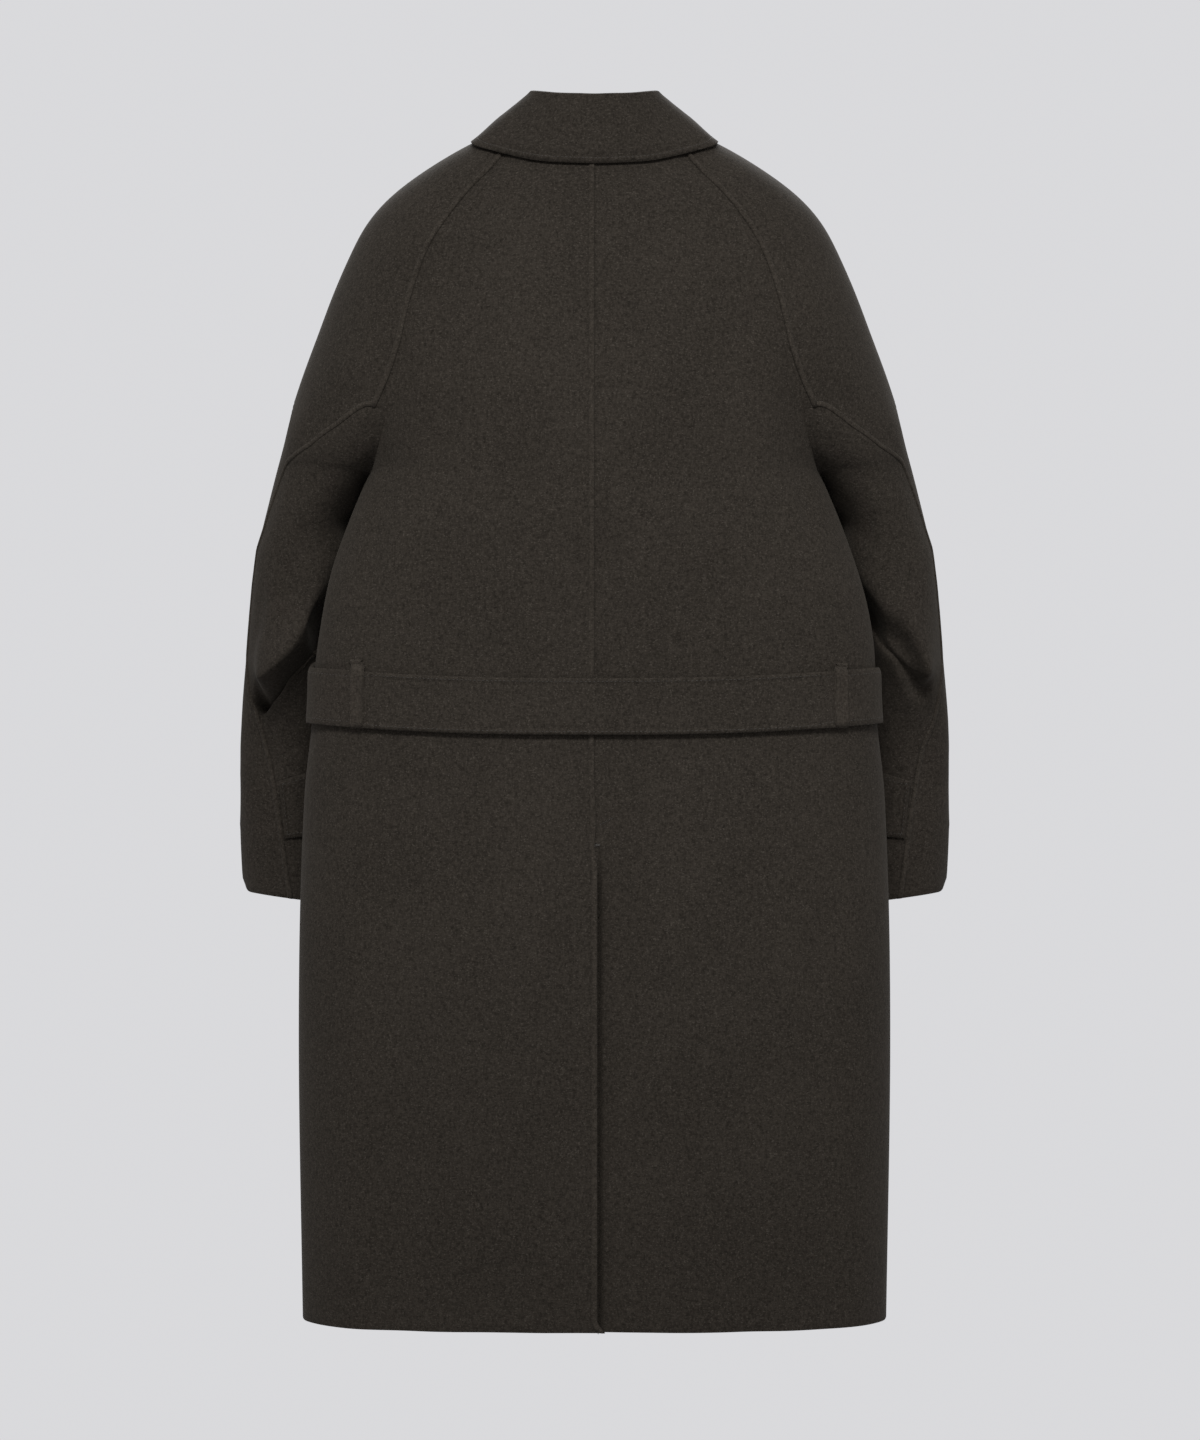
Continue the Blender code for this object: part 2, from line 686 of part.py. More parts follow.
def make_loop(side, tree, belt_tree, seams):
    """A loop sewn to the back above and below the belt, and standing clear of it between."""
    section = table_at(BODY, "z", BELT_TOP_SIDE)
    turn = math.degrees(math.asin((LOOP_X[side] / section.half_width) ** (section.back_square / 2)))
    high, low = belt_top(turn), belt_top(turn) - BELT_HEIGHT
    edge = LOOP_OFF * 2
    path = [
        (LOOP_TOP[side], tree, 0),
        (LOOP_TOP[side] - LOOP_FLAT_END, tree, 0),
        (high - 2 * edge, belt_tree, 3 * edge),
        ((high + low) / 2, belt_tree, 0),
        (low + 2 * edge, belt_tree, -3 * edge),
        (low - 2.3 * edge, tree, 0),
        (low - 2.3 * edge - LOOP_LOW_END, tree, 0),
    ]
    rows = []
    for z, lies_on, past in path:
        row = []
        for share in (-0.5, 0, 0.5):
            x = SIDES[side] * LOOP_X[side] + share * LOOP_WIDTH
            hit, normal, _, _ = lies_on.ray_cast(Vector((x, 0.5, z)), Vector((0, -1, 0)))
            out = Vector((normal.x, normal.y, 0)).normalized()
            row.append(hit + out * (LOOP_OFF + LOOP_THICK) + Vector((0, 0, past)))
        rows.append(row)
    bm = sheet_of(rows)
    face_out(bm, [Vector((0, 0, path[0][0])), Vector((0, 0, path[-1][0]))])
    wall_from(bm, LOOP_THICK, seams)
    return bm


def make_buckle(rows):
    """A plain rectangular frame lying on the belt's tail at the centre front."""
    middle = rows[BELT_STEPS]
    y = min(p.y for p in middle) - LAID_ON + BUCKLE_SAG
    z = (middle[0].z + middle[2].z) / 2
    half_x, half_z = BUCKLE_WIDTH / 2, BELT_HEIGHT / 2 + BUCKLE_BAR + BUCKLE_SLACK
    bm = bmesh.new()
    corners = [(-half_x, -half_z), (half_x, -half_z), (half_x, half_z), (-half_x, half_z)]
    face = bm.faces.new([bm.verts.new((x, y, z + dz)) for x, dz in corners])
    bm.normal_update()
    bmesh.ops.inset_region(bm, faces=[face], thickness=BUCKLE_BAR, use_boundary=True, use_even_offset=True)
    bmesh.ops.delete(bm, geom=[face], context="FACES_ONLY")
    bmesh.ops.solidify(bm, geom=list(bm.faces), thickness=BUCKLE_THICK)
    inner = max(v.co.y for v in bm.verts)
    bmesh.ops.translate(bm, verts=bm.verts, vec=(0, y - inner, 0))
    bmesh.ops.recalc_face_normals(bm, faces=bm.faces)
    return bm


# Cuff tabs and buttons

def make_tab(rows, seams):
    """A strap on the undersleeve between two rings, from the hind seam round the inside of the wrist."""
    first = len(RAGLAN) - HIND_SEAM_START
    upper, lower = rows[first + TAB_RINGS[0]], rows[first + TAB_RINGS[1]]
    bm = sheet_of([upper, lower])
    centre = sum(upper + lower, Vector()) / (2 * len(upper))
    face_out(bm, [centre])
    bm.verts.ensure_lookup_table()
    steps = len(upper)
    grid = []
    for j in range(TAB_END_COLUMN + 1):
        top, low = bm.verts[j], bm.verts[steps + j]
        narrow = TAB_POINT if j == TAB_END_COLUMN else 0.0
        lifted = []
        for share in (narrow, 1 - narrow):
            place = top.co.lerp(low.co, share)
            normal = top.normal.lerp(low.normal, share).normalized()
            lifted.append(place + normal * (TAB_OFF + CLOTH))
        grid.append(lifted)
    button_at = (grid[-2][0] + grid[-2][1]) / 2
    button_column = TAB_END_COLUMN - 1
    button_out = (bm.verts[button_column].normal + bm.verts[steps + button_column].normal).normalized()
    bm.free()
    tab = sheet_of(grid)
    face_out(tab, [centre])
    wall_from(tab, CLOTH, seams)
    return tab, button_at, button_out


def make_button(place, out, radius):
    """A flat button with a rounded edge and a dished face, lying on the cloth at a place."""
    bm = bmesh.new()
    profile = [
        (0.0, BUTTON_THICK * 0.62), (radius * 0.62, BUTTON_THICK * 0.62), (radius * 0.78, BUTTON_THICK),
        (radius * 0.94, BUTTON_THICK), (radius, BUTTON_THICK * 0.6), (radius * 0.9, 0.0), (0.0, 0.0),
    ]
    edges = []
    verts = [bm.verts.new((r, 0, h)) for r, h in profile]
    for a, b in zip(verts, verts[1:]):
        edges.append(bm.edges.new((a, b)))
    bmesh.ops.spin(
        bm, geom=verts + edges, cent=(0, 0, 0), axis=(0, 0, 1), angle=2 * math.pi,
        steps=BUTTON_SIDES, use_merge=True,
    )
    bmesh.ops.remove_doubles(bm, verts=bm.verts, dist=1e-5)
    bmesh.ops.recalc_face_normals(bm, faces=bm.faces)
    turn = Vector((0, 0, 1)).rotation_difference(out)
    for v in bm.verts:
        v.co = turn @ v.co + place + out * LAID_ON
    return bm


def front_button_place(tree, z):
    hit, normal, _, _ = tree.ray_cast(Vector((0, -0.5, z)), Vector((0, 1, 0)))
    return hit, normal


# Materials

def make_material(name, colour, roughness):
    material = bpy.data.materials.new(name)
    material.use_nodes = True
    shader = material.node_tree.nodes["Principled BSDF"]
    shader.inputs["Base Color"].default_value = colour
    shader.inputs["Roughness"].default_value = roughness
    shader.inputs["Metallic"].default_value = 0.0
    return material


def main():
    for obj in list(bpy.data.objects):
        bpy.data.objects.remove(obj)
    wool = make_material("wool", WOOL_COLOUR, 0.95)
    horn = make_material("horn", HORN_COLOUR, 0.4)

    sheets = make_panels()
    seams = {}
    for bm in sheets.values():
        note_seams(bm, seams)
    all_panels = tree_of(sheets.values())
    body_panels = tree_of(bm for name, bm in sheets.items() if name.startswith(("back", "front")))
    for name, bm in sheets.items():
        wall_from(bm, CLOTH, seams, SLEEVE_SEAM_GAP if "sleeve" in name else SEAM_GAP)
        add_object(name, bm, wool)

    add_object("collar", make_collar(all_panels, {}), wool)
    belt, rows = make_belt({})
    belt_tree = tree_of([belt])
    add_object("belt", belt, wool)
    for side in SIDES:
        add_object(f"belt_loop_{side}", make_loop(side, body_panels, belt_tree, {}), wool)
    add_object("belt_buckle", make_buckle(rows), horn)

    for side, sign in SIDES.items():
        under = undersleeve_rows(side)
        under = under if sign > 0 else mirrored(under)
        tab, place, out = make_tab(under, {})
        add_object(f"cuff_tab_{side}", tab, wool)
        add_object(f"cuff_button_{side}", make_button(place, out, TAB_BUTTON_RADIUS), horn)
    for n, z in enumerate(FRONT_BUTTON_Z, 1):
        place, out = front_button_place(body_panels, z)
        add_object(f"front_button_{n}", make_button(place, out, FRONT_BUTTON_RADIUS), horn)


main()
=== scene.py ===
# %% [markdown]
# # A belted wool balmacaan coat
# The coat hangs in the air, filled out as if it were worn, and its back faces the camera. The packed
# model gives every piece its place. This lesson takes each CAD wall's outer side, sews the panels
# together, smooths them, folds them, and then adds the sewing, the buttons and the cloth's finish.

# %% Load the frame
import math
from collections import namedtuple

import bmesh
import bpy
import numpy as np
from mathutils import Matrix, Vector
from mathutils.bvhtree import BVHTree
from mathutils.kdtree import KDTree


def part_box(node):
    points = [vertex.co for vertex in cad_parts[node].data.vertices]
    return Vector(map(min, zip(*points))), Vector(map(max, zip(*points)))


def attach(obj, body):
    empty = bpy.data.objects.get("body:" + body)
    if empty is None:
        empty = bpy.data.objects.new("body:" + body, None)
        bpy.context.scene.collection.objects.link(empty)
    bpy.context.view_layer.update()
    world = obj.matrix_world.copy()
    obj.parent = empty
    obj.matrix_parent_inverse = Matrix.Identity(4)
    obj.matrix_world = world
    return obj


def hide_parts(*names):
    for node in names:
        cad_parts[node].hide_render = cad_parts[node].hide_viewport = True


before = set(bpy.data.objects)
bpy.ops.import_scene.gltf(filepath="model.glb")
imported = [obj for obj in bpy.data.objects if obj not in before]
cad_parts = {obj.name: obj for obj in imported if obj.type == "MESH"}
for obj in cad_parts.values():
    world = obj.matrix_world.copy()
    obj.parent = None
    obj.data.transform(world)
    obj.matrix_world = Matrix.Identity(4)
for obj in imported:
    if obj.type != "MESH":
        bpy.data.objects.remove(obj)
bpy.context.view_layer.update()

# %% [markdown]
# ## Camera
# The photo looks straight at the back of the coat from a few metres away. The lens and the distance were
# found by laying the CAD outline over the photo's outline, so that both agree to a few pixels.

# %% Camera
CAMERA_PLACE = (-0.005, 4.0, -0.535)
CAMERA_LENS = 108.9


def make_camera():
    data = bpy.data.cameras.new("camera")
    data.lens = CAMERA_LENS
    data.sensor_width = 36
    camera = bpy.data.objects.new("camera", data)
    camera.location = CAMERA_PLACE
    camera.rotation_euler = (math.radians(90), 0, math.radians(180))
    bpy.context.scene.collection.objects.link(camera)
    bpy.context.scene.camera = camera


make_camera()

# %% [markdown]
# ## Shader sums
# A cloth's colour is a sum of several noises. Drawing that with dozens of linked nodes is hard to read,
# so one small class wraps a socket. Adding or multiplying two of them adds the Math node.

# %% Shader class


class Shade:
    """A socket of a material that can be used in sums."""

    def __init__(self, tree, socket=None):
        self.tree = tree
        self.socket = socket

    def node(self, kind, settings=None, sockets=None, out=0):
        """Adds a node: its settings first, then the values or links of its sockets."""
        made = self.tree.nodes.new(kind)
        for name, value in (settings or {}).items():
            setattr(made, name, value)
        for name, value in (sockets or {}).items():
            if isinstance(value, Shade):
                self.tree.links.new(value.socket, made.inputs[name])
            else:
                made.inputs[name].default_value = value
        return Shade(self.tree, made.outputs[out]) if made.outputs else made

    def math(self, operation, first, second):
        return self.node("ShaderNodeMath", {"operation": operation}, {0: first, 1: second})

    def __add__(self, other):
        return self.math("ADD", self, other)

    __radd__ = __add__

    def __sub__(self, other):
        return self.math("SUBTRACT", self, other)

    def __rsub__(self, other):
        return self.math("SUBTRACT", other, self)

    def __mul__(self, other):
        return self.math("MULTIPLY", self, other)

    __rmul__ = __mul__

    def clear_of(self, low, high):
        """0 below low, 1 above high, and smooth between."""
        settings = {"interpolation_type": "SMOOTHSTEP"}
        sockets = {"Value": self, "From Min": low, "From Max": high}
        return self.node("ShaderNodeMapRange", settings, sockets)

    def noise(self, place, scale, detail=2.0, roughness=0.5):
        sockets = {"Vector": place, "Scale": scale, "Detail": detail, "Roughness": roughness}
        return self.node("ShaderNodeTexNoise", None, sockets)

    def stretched(self, place, scale):
        """A place with its axes scaled, for a noise that runs along one of them."""
        sockets = {"Vector": place, "Scale": scale}
        return self.node("ShaderNodeMapping", {"vector_type": "POINT"}, sockets)

    def blend(self, share, first, second):
        settings = {"data_type": "RGBA", "clamp_factor": True}
        return self.node("ShaderNodeMix", settings, {"Factor": share, 6: first, 7: second}, out=2)


def new_material(name):
    """An empty node material: the sums' start, its shader and the place on the object."""
    material = bpy.data.materials.new(name)
    material.use_nodes = True
    tree = material.node_tree
    start = Shade(tree)
    place = start.node("ShaderNodeTexCoord", out=3)
    return material, start, tree.nodes["Principled BSDF"], place


def plug(start, shader, name, value):
    start.tree.links.new(value.socket, shader.inputs[name])


# %% [markdown]
# ## Wool
# The cloth is a felted melange: dark brown fibres with lighter ones mixed in before spinning. From a
# step away it looks like fine grain with pale flecks. Two noises stretched along different axes make the
# fibres, wider ones make the cloud in the dye, and a bump gives the short nap. The welts and the loops
# stand up into the light, so their wool is painted a little lighter: a painted highlight.

# %% Wool
WOOL_DARK = (0.0085, 0.0070, 0.0054, 1)
WOOL_LIGHT = (0.0262, 0.0219, 0.0175, 1)
WOOL_FLECK = (0.0620, 0.0536, 0.0445, 1)
# Welts and loops: the wool's colours times this, a painted highlight for their raised tops in the light.
RAISED_PAINTED_HIGHLIGHT = 1.20
FIBRE_SCALE = (560, 620)
CLOUD_SCALE = 210
DYE_SCALE = 11
FLECK_SCALE = 900
FLECK_SHARE = 0.4
NAP_HEIGHT = 0.0006
WOOL_SHEEN = {
    "Specular IOR Level": 0.05,
    "Sheen Weight": 0.035,
    "Sheen Roughness": 0.55,
    "Sheen Tint": (0.62, 0.56, 0.48, 1),
}


def shaded(colour, shade):
    return tuple(c * shade for c in colour[:3]) + (1,)


def make_wool(name, shade=1.0):
    material, start, shader, place = new_material(name)
    upright = start.noise(start.stretched(place, (1.0, 1.0, 0.5)), FIBRE_SCALE[0], 3, 0.6)
    level = start.noise(start.stretched(place, (0.5, 0.5, 1.0)), FIBRE_SCALE[1], 3, 0.6)
    cloud = start.noise(place, CLOUD_SCALE, 2)
    dye = start.noise(place, DYE_SCALE, 2)
    fibre = (upright + level) * 0.5
    mixed = (fibre - 0.5) * 2.3 + (cloud - 0.5) * 0.35 + (dye - 0.5) * 0.25 + 0.5
    dark, light = shaded(WOOL_DARK, shade), shaded(WOOL_LIGHT, shade)
    body = start.blend(mixed.clear_of(-0.05, 1.05), dark, light)
    fleck = start.noise(start.stretched(place, (0.7, 0.7, 1.0)), FLECK_SCALE, 1).clear_of(0.58, 0.74)
    plug(start, shader, "Base Color", start.blend(fleck * FLECK_SHARE, body, WOOL_FLECK))
    plug(start, shader, "Roughness", 0.98 - fibre * 0.2)
    height = fibre * 0.8 + cloud * 0.3
    sockets = {"Strength": 0.45, "Distance": NAP_HEIGHT, "Height": height}
    plug(start, shader, "Normal", start.node("ShaderNodeBump", None, sockets))
    for socket, value in WOOL_SHEEN.items():
        shader.inputs[socket].default_value = value
    return material


wool = make_wool("wool_melange")
# The same wool painted lighter, a painted highlight, for the seam ridges and the loops.
painted_highlight_wool = make_wool("wool_painted_highlight", RAISED_PAINTED_HIGHLIGHT)
print("wool material", len(wool.node_tree.nodes), "nodes")

# %% [markdown]
# ## Sheets from the CAD walls
# A CAD panel is a closed wall 2.5 mm thick. Its outer side is the cloth's face. The wall's narrow rim
# is the only place with edges as long as the wall is thick, so deleting those faces leaves two loose
# sheets, and the larger one lies outside. Pairs of triangles are joined to quads, which smooth better.

# %% Outer sheets
CLOTH = 0.0025
DOUBLE_CLOTH = 0.0040
LOOP_CLOTH = 0.0028
LOOSE_POINT = 1e-5
RIM_SLACK = 0.06


def islands(faces):
    """Groups of faces that hang together."""
    left = set(faces)
    groups = []
    while left:
        stack = [left.pop()]
        group = []
        while stack:
            face = stack.pop()
            group.append(face)
            for edge in face.edges:
                for other in edge.link_faces:
                    if other in left:
                        left.remove(other)
                        stack.append(other)
        groups.append(group)
    return groups


def outer_sheet(node, wall):
    """The outer side of a CAD wall, as quads."""
    bm = bmesh.new()
    bm.from_mesh(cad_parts[node].data)
    bmesh.ops.remove_doubles(bm, verts=bm.verts, dist=LOOSE_POINT)
    slack = wall * RIM_SLACK
    rim = [f for f in bm.faces if any(abs(e.calc_length() - wall) < slack for e in f.edges)]
    bmesh.ops.delete(bm, geom=rim, context="FACES")
    groups = islands(bm.faces)
    groups.sort(key=lambda group: -sum(f.calc_area() for f in group))
    bmesh.ops.delete(bm, geom=[f for group in groups[1:] for f in group], context="FACES")
    bmesh.ops.join_triangles(
        bm, faces=bm.faces, angle_face_threshold=math.pi, angle_shape_threshold=math.pi,
        topology_influence=2.0,
    )
    return bm


def loose_mesh(bm, name):
    mesh = bpy.data.meshes.new(name)
    bm.to_mesh(mesh)
    bm.free()
    return mesh


# %% [markdown]
# ## Sewing the shell
# Panel by panel, smoothing would round off each edge on its own and leave steps at the seams. So the
# panels are first sewn into one shell: their edges lie less than 1.3 mm apart, and merging the doubles
# joins them. At the undersleeves' tips and the top of the vent they lie further apart, and are merged
# one by one, at listed points. Each face keeps its panel's number, so that the shell can be cut apart
# again afterwards.

# %% Sew the panels
SIDES = {"left": 1, "right": -1}
TOPSLEEVE_PARTS = ("upper", "middle", "lower")
PANELS = {}
for panel in ("back", "front", "topsleeve", "undersleeve"):
    for side in SIDES:
        PANELS[f"{panel}_{side}"] = [f"{panel}_{side}"]
for side in SIDES:
    PANELS["topsleeve_" + side] = [f"topsleeve_{part}_{side}" for part in TOPSLEEVE_PARTS]
PANEL_NAMES = list(PANELS)
SEWN = 0.0013
MEETING_POINTS = [(0.183, 0.087, -0.240), (-0.183, 0.087, -0.240), (0.0, 0.1352, -0.646)]
MEETING_REACH = 0.005


def sew_panels():
    shell = bmesh.new()
    for number, nodes in enumerate(PANELS.values()):
        for node in nodes:
            mesh = loose_mesh(outer_sheet(node, CLOTH), node + "_sheet")
            before = len(shell.faces)
            shell.from_mesh(mesh)
            shell.faces.ensure_lookup_table()
            for face in shell.faces[before:]:
                face.material_index = number
            bpy.data.meshes.remove(mesh)
    edge_points = [v for v in shell.verts if v.is_boundary]
    bmesh.ops.remove_doubles(shell, verts=edge_points, dist=SEWN)
    for place in MEETING_POINTS:
        edge_points = [v for v in shell.verts if v.is_boundary]
        meeting = [v for v in edge_points if (v.co - Vector(place)).length < MEETING_REACH]
        middle = sum((v.co for v in meeting), Vector()) / len(meeting)
        print("points merged by hand", len(meeting))
        bmesh.ops.pointmerge(shell, verts=meeting, merge_co=middle)
    shell.normal_update()
    return shell


shell = sew_panels()
print("sewn shell", len(shell.faces), "faces,", sum(e.is_boundary for e in shell.edges), "open edges")

# %% [markdown]
# ## Smoothing through the measured points
# Subdivision pulls a shape inwards, away from the points that were measured. Here each point is moved
# out by as much as it was pulled in, a few times over, so that the smooth cloth passes through the CAD's
# own points and the coat keeps its size.

# %% Smooth shell
SMOOTH_LEVELS = 3
SMOOTH_ROUNDS = 6


def points_of(mesh):
    flat = np.empty(len(mesh.vertices) * 3)
    mesh.vertices.foreach_get("co", flat)
    return flat.reshape(-1, 3)


def smooth_through(bm, name, levels=SMOOTH_LEVELS, rounds=SMOOTH_ROUNDS):
    """A finer bmesh whose smooth surface still passes through the given points."""
    mesh = loose_mesh(bm, name)
    obj = bpy.data.objects.new(name, mesh)
    bpy.context.scene.collection.objects.link(obj)
    smooth = obj.modifiers.new("smooth", "SUBSURF")
    smooth.levels = smooth.render_levels = 1
    smooth.boundary_smooth = "PRESERVE_CORNERS"
    target = points_of(mesh)
    control = target.copy()
    for _ in range(rounds):
        graph = bpy.context.evaluated_depsgraph_get()
        reached = points_of(obj.evaluated_get(graph).data)[:len(target)]
        control += target - reached
        mesh.vertices.foreach_set("co", control.ravel())
        mesh.update()
    smooth.levels = smooth.render_levels = levels
    graph = bpy.context.evaluated_depsgraph_get()
    fine = bpy.data.meshes.new_from_object(obj.evaluated_get(graph))
    miss = np.abs(points_of(fine)[:len(target)] - target).max()
    bpy.data.objects.remove(obj)
    bpy.data.meshes.remove(mesh)
    made = bmesh.new()
    made.from_mesh(fine)
    bpy.data.meshes.remove(fine)
    made.normal_update()
    print(name, len(made.faces), "quads, off the CAD points by", round(miss * 1000, 2), "mm")
    return made


shell = smooth_through(shell, "shell")

# %% [markdown]
# ## Shaping the cloth
# Real cloth rounds off where the CAD's grid is coarse, and it falls in soft folds. A few small tools do
# this on all points at once. Soften evens out the cloth near a line. Nudge moves the cloth near a point.
# Fold presses a soft trough, or raises a ridge, along a line, and fades out at its ends. Tuck moves the
# cloth along a line any way, and Pocket pushes it in deeply between two steep sides.

# %% Shaping tools
BELT_CLEAR = 0.018
SOFT_CORE = 1.4
SOFT_PULL = 0.6
FADE_REACH = 2.5
POCKET_RIM = 1.35
POCKET_FLANK = 0.8
POCKET_TIP = 0.25


def eased(share):
    """A share from 0 to 1 with a smooth start and end."""
    return share * share * (3 - 2 * share)


def tree_of(bm, panels=PANEL_NAMES):
    """Search tree of a sheet, or of some of the shell's panels."""
    bm.verts.index_update()
    faces = [[v.index for v in f.verts] for f in bm.faces if PANEL_NAMES[f.material_index] in panels]
    return BVHTree.FromPolygons([v.co for v in bm.verts], faces)


class Cloth:
    """The points of a bmesh as one array, with tools that move them."""

    def __init__(self, bm):
        self.bm = bm
        self.places = np.array([tuple(v.co) for v in bm.verts])
        bm.verts.index_update()
        self.links = np.array([(e.verts[0].index, e.verts[1].index) for e in bm.edges])
        self.count = np.bincount(self.links.ravel(), minlength=len(self.places))
        self.border = np.array([v.is_boundary for v in bm.verts])
        self.refresh()

    def refresh(self):
        """Puts the points back into the bmesh and reads the new normals."""
        for v, place in zip(self.bm.verts, self.places):
            v.co = place
        self.bm.normal_update()
        self.normals = np.array([tuple(v.normal) for v in self.bm.verts])
        self.tree = tree_of(self.bm)

    def on(self, panels):
        """Which points belong to some of the panels."""
        numbers = {PANEL_NAMES.index(name) for name in panels}
        mask = np.zeros(len(self.places), bool)
        for face in self.bm.faces:
            if face.material_index in numbers:
                mask[[v.index for v in face.verts]] = True
        return mask

    def seen(self, path, towards, panels=PANEL_NAMES):
        """The cloth behind a path of (x, z), looked at along Y: -1 from the back, 1 from the front."""
        tree = self.tree if panels is PANEL_NAMES else tree_of(self.bm, panels)
        found = []
        for x, z in path:
            hit = tree.ray_cast(Vector((x, -towards, z)), Vector((0, towards, 0)))[0]
            found.append(hit or tree.find_nearest(Vector((x, 0, z)))[0])
        return found

    def near(self, line):
        """Each point's distance to a line of points, and how far along the line it lies, from 0 to 1."""
        line = np.array([tuple(p) for p in line], float)
        steps = np.linalg.norm(np.diff(line, axis=0), axis=1)
        starts = np.concatenate([[0], np.cumsum(steps)])
        best = np.full(len(self.places), np.inf)
        along = np.zeros(len(self.places))
        for a, b, start, step in zip(line, line[1:], starts, steps):
            t = np.clip((self.places - a) @ (b - a) / step ** 2, 0, 1)
            far = np.linalg.norm(self.places - a - t[:, None] * (b - a), axis=1)
            closer = far < best
            best[closer] = far[closer]
            along[closer] = (start + t[closer] * step) / starts[-1]
        return best, along

    def soften(self, line, radius, rounds, panels=PANEL_NAMES):
        far, _ = self.near(line)
        share = np.clip(SOFT_CORE * (1 - far / radius), 0, 1) * ~self.border * self.on(panels)
        links = self.links[(share[self.links] > 0).any(axis=1)]
        used, links = np.unique(links, return_inverse=True)
        links = links.reshape(-1, 2)
        places = self.places[used]
        pull = (SOFT_PULL * share[used])[:, None]
        count = np.maximum(self.count[used], 1)[:, None]
        for _ in range(rounds):
            total = np.zeros_like(places)
            for k in range(3):
                total[:, k] = np.bincount(links[:, 0], places[links[:, 1], k], len(places))
                total[:, k] += np.bincount(links[:, 1], places[links[:, 0], k], len(places))
            places += (total / count - places) * pull
        self.places[used] = places

    def nudge(self, centre, radius, move, panels=PANEL_NAMES):
        far = np.linalg.norm(self.places - np.array(centre), axis=1)
        share = np.clip(1 - far / radius, 0, 1) * self.on(panels)
        self.places += eased(share)[:, None] * np.array(move)

    def fade(self, line, width, open_end=False):
        """1 on a line's middle, 0 away from it and at its ends, or at its start only."""
        far, along = self.near(line)
        rise = np.sin(np.pi * np.clip(along, 0, 1) * (0.5 if open_end else 1)) ** 0.8
        share = rise * np.exp(-(far / width) ** 2)
        share[far > width * FADE_REACH] = 0
        return share

    def fold(self, line, width, depth, open_end=False):
        """A soft trough, or a ridge if depth is below 0. No ridge lifts the cloth through the belt."""
        share = self.fade(line, width, open_end)
        if depth < 0:
            low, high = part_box("belt")
            z = self.places[:, 2]
            off_belt = np.maximum(low[2] - z, z - high[2]) / BELT_CLEAR
            share = share * np.clip(off_belt, 0, 1)
        self.places -= self.normals * (depth * share)[:, None]

    def tuck(self, line, width, move, panels=PANEL_NAMES):
        share = self.fade(line, width) * self.on(panels)
        self.places += share[:, None] * np.array(move)

    def pocket(self, line, widths, move, panels):
        """Pushes a strip of cloth in between steep sides. Its half width changes along the line."""
        far, along = self.near(line)
        width = np.interp(along, np.linspace(0, 1, len(widths)), widths)
        share = np.clip((POCKET_RIM - far / width) / POCKET_FLANK, 0, 1)
        tip = np.clip((1 - along) / POCKET_TIP, 0, 1)
        share = eased(share) * tip * (2 - tip) * self.on(panels)
        self.places += share[:, None] * np.array(move)


cloth = Cloth(shell)

# %% [markdown]
# ## Sleeves
# The undersleeve starts as a narrow tip on the raglan seam, where the grid is crowded, so that place is
# softened. The CAD's sleeve has a step at the armhole's end, and at the elbow one stiff lip right
# across. The cloth is evened out there and filled out again to its outline. Then the two hollows that
# the photo shows are pushed in, on a finer grid: a deep one on the left, a shallow one on the
# right. Last, the cuffs' outer corners are rounded.

# %% Shape the sleeves
Elbow = namedtuple("Elbow", "hollow widths move lip roll rounds")
SLEEVE_TIP = [(0.180, 0.089, -0.228), (0.228, 0.072, -0.269), (0.258, 0.050, -0.287)]
TIP_REACH = 0.034
TIP_ROUNDS = 60
ARMPIT_INNER = (0.223, -0.004, -0.334)
ARMPIT_REACH = 0.035
ARMPIT_MOVE = (-0.006, 0, 0)
ARM_INNER = (0.248, -0.020, -0.400)
ARM_INNER_REACH = 0.060
ARM_INNER_MOVE = (-0.016, 0.012, 0)
ELBOW_AXIS = [(0.285, -0.070, -0.445), (0.287, -0.080, -0.560)]
ELBOW_REACH = 0.085
ELBOW_ROUNDS = 1100
ELBOW_LEVELS = np.linspace(-0.66, -0.36, 13)
ARM_AXIS = [(0.225, -0.085, -0.300), (0.305, -0.060, -0.315)]
ARM_REACH = 0.085
ARM_ROUNDS = 420
ARM_LEVELS = np.linspace(-0.42, -0.20, 12)
SLEEVE_MIDDLE = 0.275
SLEEVE_HALF = 0.050
ELBOWS = {
    1: Elbow(
        [(0.238, -0.434), (0.250, -0.445), (0.266, -0.462), (0.280, -0.478), (0.292, -0.491),
         (0.306, -0.509), (0.314, -0.527)],
        (0.0155, 0.0145, 0.0125, 0.0110, 0.0095, 0.0080, 0.0055), (-0.006, -0.040, -0.020),
        [(0.243, -0.404), (0.265, -0.436), (0.290, -0.470), (0.309, -0.498)],
        (-0.003, 0.007, -0.003), 20,
    ),
    -1: Elbow(
        [(-0.230, -0.412), (-0.244, -0.426), (-0.260, -0.444), (-0.280, -0.470), (-0.296, -0.494),
         (-0.306, -0.516)],
        (0.0150, 0.0150, 0.0140, 0.0125, 0.0100, 0.0070), (0.002, -0.020, -0.002),
        [(-0.243, -0.400), (-0.268, -0.427), (-0.291, -0.454), (-0.309, -0.484)],
        (0.002, 0.004, -0.002), 60,
    ),
}
FINE_REACH = 0.036
FINE_CUTS = 2
LEVEL_REACH = 0.004
HOLLOW_REACH = 0.050
HOLLOW_ROUNDS = 14
LIP_WIDTH = 0.013
SETTLE_REACH = 0.055
CUFF_TOP = -0.62
CUFF_SPAN = Vector((0, 0.034, 0))
CUFF_WIDTH = 0.0068
CUFF_MOVE = (-0.0024, 0, 0.0040)


def sleeve_of(side):
    return ["topsleeve_" + side, "undersleeve_" + side]


def flipped(place, sign):
    return (place[0] * sign, *place[1:])


def mirrored(path, sign):
    return [flipped(place, sign) for place in path]


def outline(z, sign):
    """How far out the sleeve reaches at a height."""
    level = cloth.places[np.abs(cloth.places[:, 2] - z) < LEVEL_REACH]
    return (level[:, 0] * sign).max()


